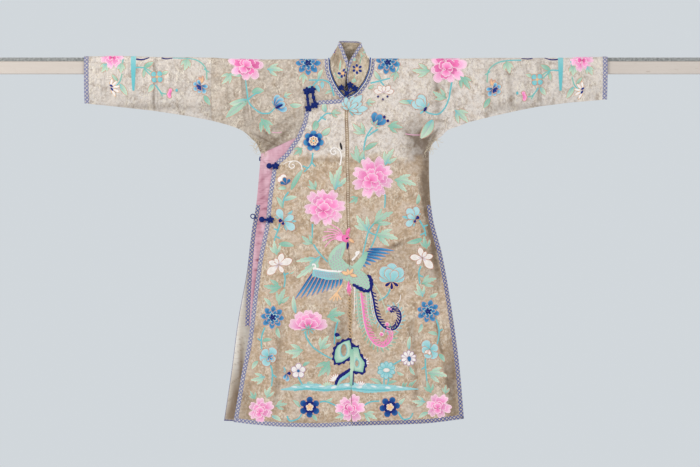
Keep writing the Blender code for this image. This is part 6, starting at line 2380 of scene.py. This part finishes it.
spray(rock, 38, -910, (-78, 78), 9, 5, 20, 4.4, "mauve white white")
spray(rock, -30, -892, (-80, 10), 6, 5, 22, 4.2, "white")
spray(rock, 46, -838, (20, 160), 6, 4, 18, 4.6, "aqua white white")
spray(rock, -56, -908, (-70, 50), 6, 4, 18, 4.4, "mint pale_mint pale_mint")
# The shore: x and z of its middle, and its width at each of these points
SHORE = (
    (-188, -915), (-150, -912), (-110, -907), (-60, -911), (-14, -908), (10, -906), (60, -911),
    (120, -911), (203, -914),
)
SHORE_WIDTHS = (3, 14, 20, 16, 20, 26, 20, 12, 2)
stem(rock, SHORE, SHORE_WIDTHS, "aqua", 0.15, 0.5, 0.12)
line(rock, [(x, z - 5.5) for x, z in SHORE[1:8]], 4.0, "turquoise", 0.65)
for k in range(26):
    x = -150 + 12.6 * k + chance.uniform(-4, 4)
    level = float(np.interp(x, *zip(*SHORE)))
    lump = 14 - 0.05 * abs(x - 20) + chance.uniform(-2, 2)
    silks = ("white pale_blue", "pale_blue aqua", "pale_blue aqua")[k % 3]
    disc(
        rock, x, level + 4 - 3 * (k % 2), 12, max(lump * 0.4, 3.0), silks, 0.5, chance.uniform(-18, 18),
        0.4,
    )
for x0, z0, x1, z1 in (
    (159, -908, 163, -893), (164, -908, 172, -895), (176, -907, 186, -893), (182, -907, 199, -886),
):
    leaf(rock, x0, z0, x1, z1, 6, 2, "deep_leaf leaf mint")
rock.make("rock_embroidery")

# The collar's embroidery: a navy blossom on one end, a blue one with a peach heart on the other, and
# small mint leaves. All of it is worn.
# Leaves of the collar: root along and up, tip along and up
COLLAR_LEAVES = (
    (46, 26, 54, 44), (30, 48, 22, 58), (262, 34, 254, 44), (298, 16, 308, 28), (276, 46, 284, 58),
    (240, 30, 230, 44),
)
# Blossoms: along, up, radius, petals, turn of the first petal
COLLAR_BLOSSOMS = ((34, 34, 9.5, 5, 20), (285, 31, 10.4, 6, 0))


def seen_on_collar(along, up):
    """A way to lay things on the collar by how far they are beside and above a point, as seen."""
    middle, ahead, above = (
        on_collar_face(np.array(along + a), np.array(up + b), 0.3)[[0, 2]]
        for a, b in ((0, 0), (1, 0), (0, 1))
    )
    steps = np.linalg.inv(np.stack([ahead - middle, above - middle], axis=1))
    return lambda side, rise, raised: on_collar_face(
        along + steps[0, 0] * side + steps[0, 1] * rise,
        up + steps[1, 0] * side + steps[1, 1] * rise, raised,
    )


collar_work = Needlework(on_collar_face)
for along, up, radius, petals, first in COLLAR_BLOSSOMS:
    collar_work.lay = seen_on_collar(along, up)
    for k in range(petals):
        turn = 60 * k + first
        disc(collar_work, *away(0, 0, turn, radius), 3.7, 4.7, "navy royal", 0.3, turn, 0.5, "rim")
    disc(collar_work, 0, 0, 4.6, 4.6, "peach gold", 0.6)
collar_work.lay = on_collar_face
for x0, z0, x1, z1 in COLLAR_LEAVES:
    leaf(collar_work, x0, z0, x1, z1, 8, 1, "leaf mint mint")
for points in (((34, 24), (40, 14), (52, 10)), ((274, 30), (262, 34), (250, 30)), ((296, 28), (306, 22))):
    stem(collar_work, points, 2.6, "leaf")
for along in (90, 118, 146, 174, 202, 228):
    bloom(collar_work, along, 34, 9, BLUE_FLOWER[:1] if along % 56 else WHITE_FLOWER, along, 0.1)
    leaf(collar_work, along + 10, 30, along + 20, 40, 8, 1, "leaf mint mint")
collar_work.make("collar_embroidery")

# The sleeves' embroidery: a flowering branch on each face, much the same on both arms. The tables
# are for the right arm, and the left one is its mirror image, a little higher or lower.
# Leaves: root x, z, tip x, z, width
SLEEVE_LEAVES = (
    (-682, 11, -697, -13, 14), (-643, 12, -642, -15, 16), (-577, 1, -550, 15, 11),
    (-575, -5, -579, -29, 8), (-550, -49, -564, -70, 12), (-453, 25, -462, -8, 16),
    (-406, -80, -389, -107, 12), (-652, -39, -668, -20, 8), (-645, -47, -625, -79, 12),
    (-526, -18, -508, -12, 9),
)
SLEEVE_STEMS = (
    ((-601, -1), (-577, -1), (-552, -15)), ((-577, -3), (-560, -20), (-552, -27)),
    ((-544, -50), (-527, -72), (-508, -76)), ((-532, -66), (-524, -82)),
    ((-495, 29), (-454, 27), (-424, 19), (-402, -2), (-398, -35)), ((-406, -4), (-392, -14)),
    ((-666, -60), (-647, -43), (-639, -18)), ((-636, 26), (-638, 8)),
)
SLEEVE_CROSS = ((4, 1.0, 34, 1, 0.0, 0.0, "turquoise aqua turquoise", "rim"),)
# Turn and length of the petals of the blue flower by the shoulder
SLEEVE_PETALS = ((150, 27), (196, 24), (240, 26), (286, 25), (330, 20), (100, 22))
# Other petals: x, z, turns, length, half spread, silks, base, point, puff, edge
SLEEVE_FANS = (
    (-415, -52, (190, 225, 265), 15, 22, "navy royal", 1.1, 0.1, 0.35, "rim"),
    (-410, -44, (0, -34, -68), 20, 17, "gold peach rim", 0.9, 0.2, 0.35, "rim"),
    (-672, -58, (150, 116, 80, 44, 10), 28, 13, "mauve white white", 0.2, 0.3, 0.6, "gold"),
)


def sleeve_work(name, lay, way, drop):
    """Embroidery of one face of a sleeve. Way is 1 for the right arm and -1 for the left."""
    work = Needlework(lay)
    for points in SLEEVE_STEMS:
        stem(work, [(x * way, z + drop) for x, z in points], 4.4, "turquoise leaf")
    for k, (x0, z0, x1, z1, width) in enumerate(SLEEVE_LEAVES):
        maker = sprig if k in (0, 1, 5) else leaf
        maker(work, x0 * way, z0 + drop, x1 * way, z1 + drop, width * 1.2, silks=LEAF_SILKS[k % 4])
    bloom(work, -667 * way, 28 + drop, 34, SMALL_PEONY, 20, 0.2, 0.06)
    upright = [(-607 * way, z) for z in (36, 0, -40, -66)]
    stem(work, upright, (15, 14, 11, 6), "aqua turquoise turquoise", 0.2)
    for points in (((-599, 24), (-580, 22), (-562, 30)), ((-527, 29), (-514, 25), (-496, 28))):
        stem(work, [(x * way, z) for x, z in points], 5.0, "navy", 0.3)
    bloom(work, -540 * way, -27 + drop, 20, SLEEVE_CROSS, 40, 0.2)
    disc(work, -540 * way, -27 + drop, 4.4, 4.4, "peach gold", 0.8)
    for turn, length in ((-150, 15), (-10, 15), (-60, 11), (-110, 13)):
        fan(work, -500 * way, -74 + drop, turn * way, length, 30, "deep_rose rose pale_rose", 0.4)
    disc(work, -484 * way, -65 + drop, 3.6, 4.4, "turquoise", 0.5)
    petals = [(turn * way, length, "blue") for turn, length in SLEEVE_PETALS]
    from_the_side(work, -415 * way, -52 + drop, petals)
    for x, z, turns, length, spread, silks, base, point, puff, edge in SLEEVE_FANS:
        for turn in turns:
            fan(work, x * way, z + drop, turn * way, length, spread, silks, base, 1, 0.0, point, puff, edge)
    for x, z, turn in ((-670, -52, -60), (-668, -62, -40)):
        disc(work, x * way, z + drop, 2.6, 5.4, "royal navy", 0.9, turn * way, 0.4)
    work.make(name)


sleeve_work("right_sleeve_front_embroidery", on_lower_layer, 1, 0)
sleeve_work("left_sleeve_front_embroidery", on_lower_layer, -1, -8)
sleeve_work("right_sleeve_back_embroidery", on_back, 1, -4)
sleeve_work("left_sleeve_back_embroidery", on_back, -1, -2)

# The back's embroidery: it isn't seen in the photo. The same borders and shoulder flowers are used
# in mirror image, with a peony branch and two butterflies in the middle.
MIRRORED = -0.97

back_flowers = Needlework(on_back)
for maker, x, z, radius, turn in FRONT_FLOWERS:
    if maker != lotus:
        maker(back_flowers, x * MIRRORED, z, radius, -turn)
for rings, x, z, radius, turn in OTHER_PEONIES:
    peony(back_flowers, -x, z + (14 if z < -900 else 0), radius, -turn, rings)
for rings, x, z, radius, turn, heart in FRONT_STARS:
    star(back_flowers, x * MIRRORED, z, radius, -turn, rings, heart)
for x, z, petals in SIDE_FLOWERS:
    from_the_side(back_flowers, x * MIRRORED, z, [(-turn, length, kind) for turn, length, kind in petals])
peony(back_flowers, 30, -590, 66, 40)
peony(back_flowers, -46, -500, 44, 10, SMALL_PEONY)
# Wings of the butterflies: turn from the body, length, half spread, silks, lobes
BUTTERFLY_WINGS = ((52, 34, 26, "navy royal sky", 3), (122, 24, 24, "royal blue aqua", 2))
for x, z, lean in ((-60, -690, -20), (110, -500, 24)):
    for side in (-1, 1):
        for turn, length, spread, silks, lobes in BUTTERFLY_WINGS:
            turn = lean + turn * side
            fan(back_flowers, x, z, turn, length, spread, silks, 0.3, lobes, 0.1, 0.0, 0.6, "peach")
    disc(back_flowers, x, z, 3.6, 13, "brown gold", 1.0, lean, 0.6)
back_flowers.make("back_flower_embroidery")

back_leaves = Needlework(on_back)
branches(back_leaves, MIRRORED)
stem(
    back_leaves, ((10, -860), (24, -800), (10, -740), (26, -680), (28, -640)), (9, 7, 6),
    "brown leaf turquoise",
)
stem(back_leaves, ((14, -740), (-20, -700), (-40, -640), (-46, -550)), (6, 5, 4), "leaf turquoise")
for x0, z0, x1, z1 in (
    (20, -700, 80, -670), (-30, -660, -92, -620), (14, -770, -50, -780), (20, -800, 84, -790),
    (30, -650, 96, -650),
):
    sprig(back_leaves, x0, z0, x1, z1, None, LEAF_SILKS[0])
stem(back_leaves, [(-x, z) for x, z in SHORE], SHORE_WIDTHS, "aqua turquoise aqua turquoise", 0.15, 0.5)
back_leaves.make("back_leaf_embroidery")

# Loose threads: silk has frayed along the seams under both arms, and hangs in fine ends.
frayed = Cords()
for side, centre_x, centre_z, count in ((-1, -250, -222, 30), (1, 244, -214, 26)):
    for _ in range(count):
        along = chance.uniform(-1, 1)
        x, z = centre_x + 16 * along * side, centre_z + 20 * along
        heading = chance.uniform(0, 2 * math.pi)
        points = []
        y = -cloth_depth(FRONT, FRONT_CREASES, np.array(float(x)), np.array(float(z))) - 1.0
        for _ in range(9):
            points.append((x, float(y), z))
            heading += chance.uniform(-0.9, 0.9)
            x += 3.0 * math.cos(heading)
            z += 3.0 * math.sin(heading) - 0.4
            y -= chance.uniform(-0.1, 0.4)
        frayed.tube(through(points, np.arange(0, 8.01, 0.5)), 0.45, 4)


def finish_frayed():
    """Fine pale silk."""
    material, tree, shader = new_material("frayed_silk")
    where = node(tree, "ShaderNodeTexCoord", output="Object")
    tone = where.cloudy(60.0).between(opaque(240, 228, 206), opaque(196, 176, 146))
    fill(shader, {"Base Color": tone, "Roughness": 0.7})
    return material


frayed.make("frayed_threads", None, finish_frayed())
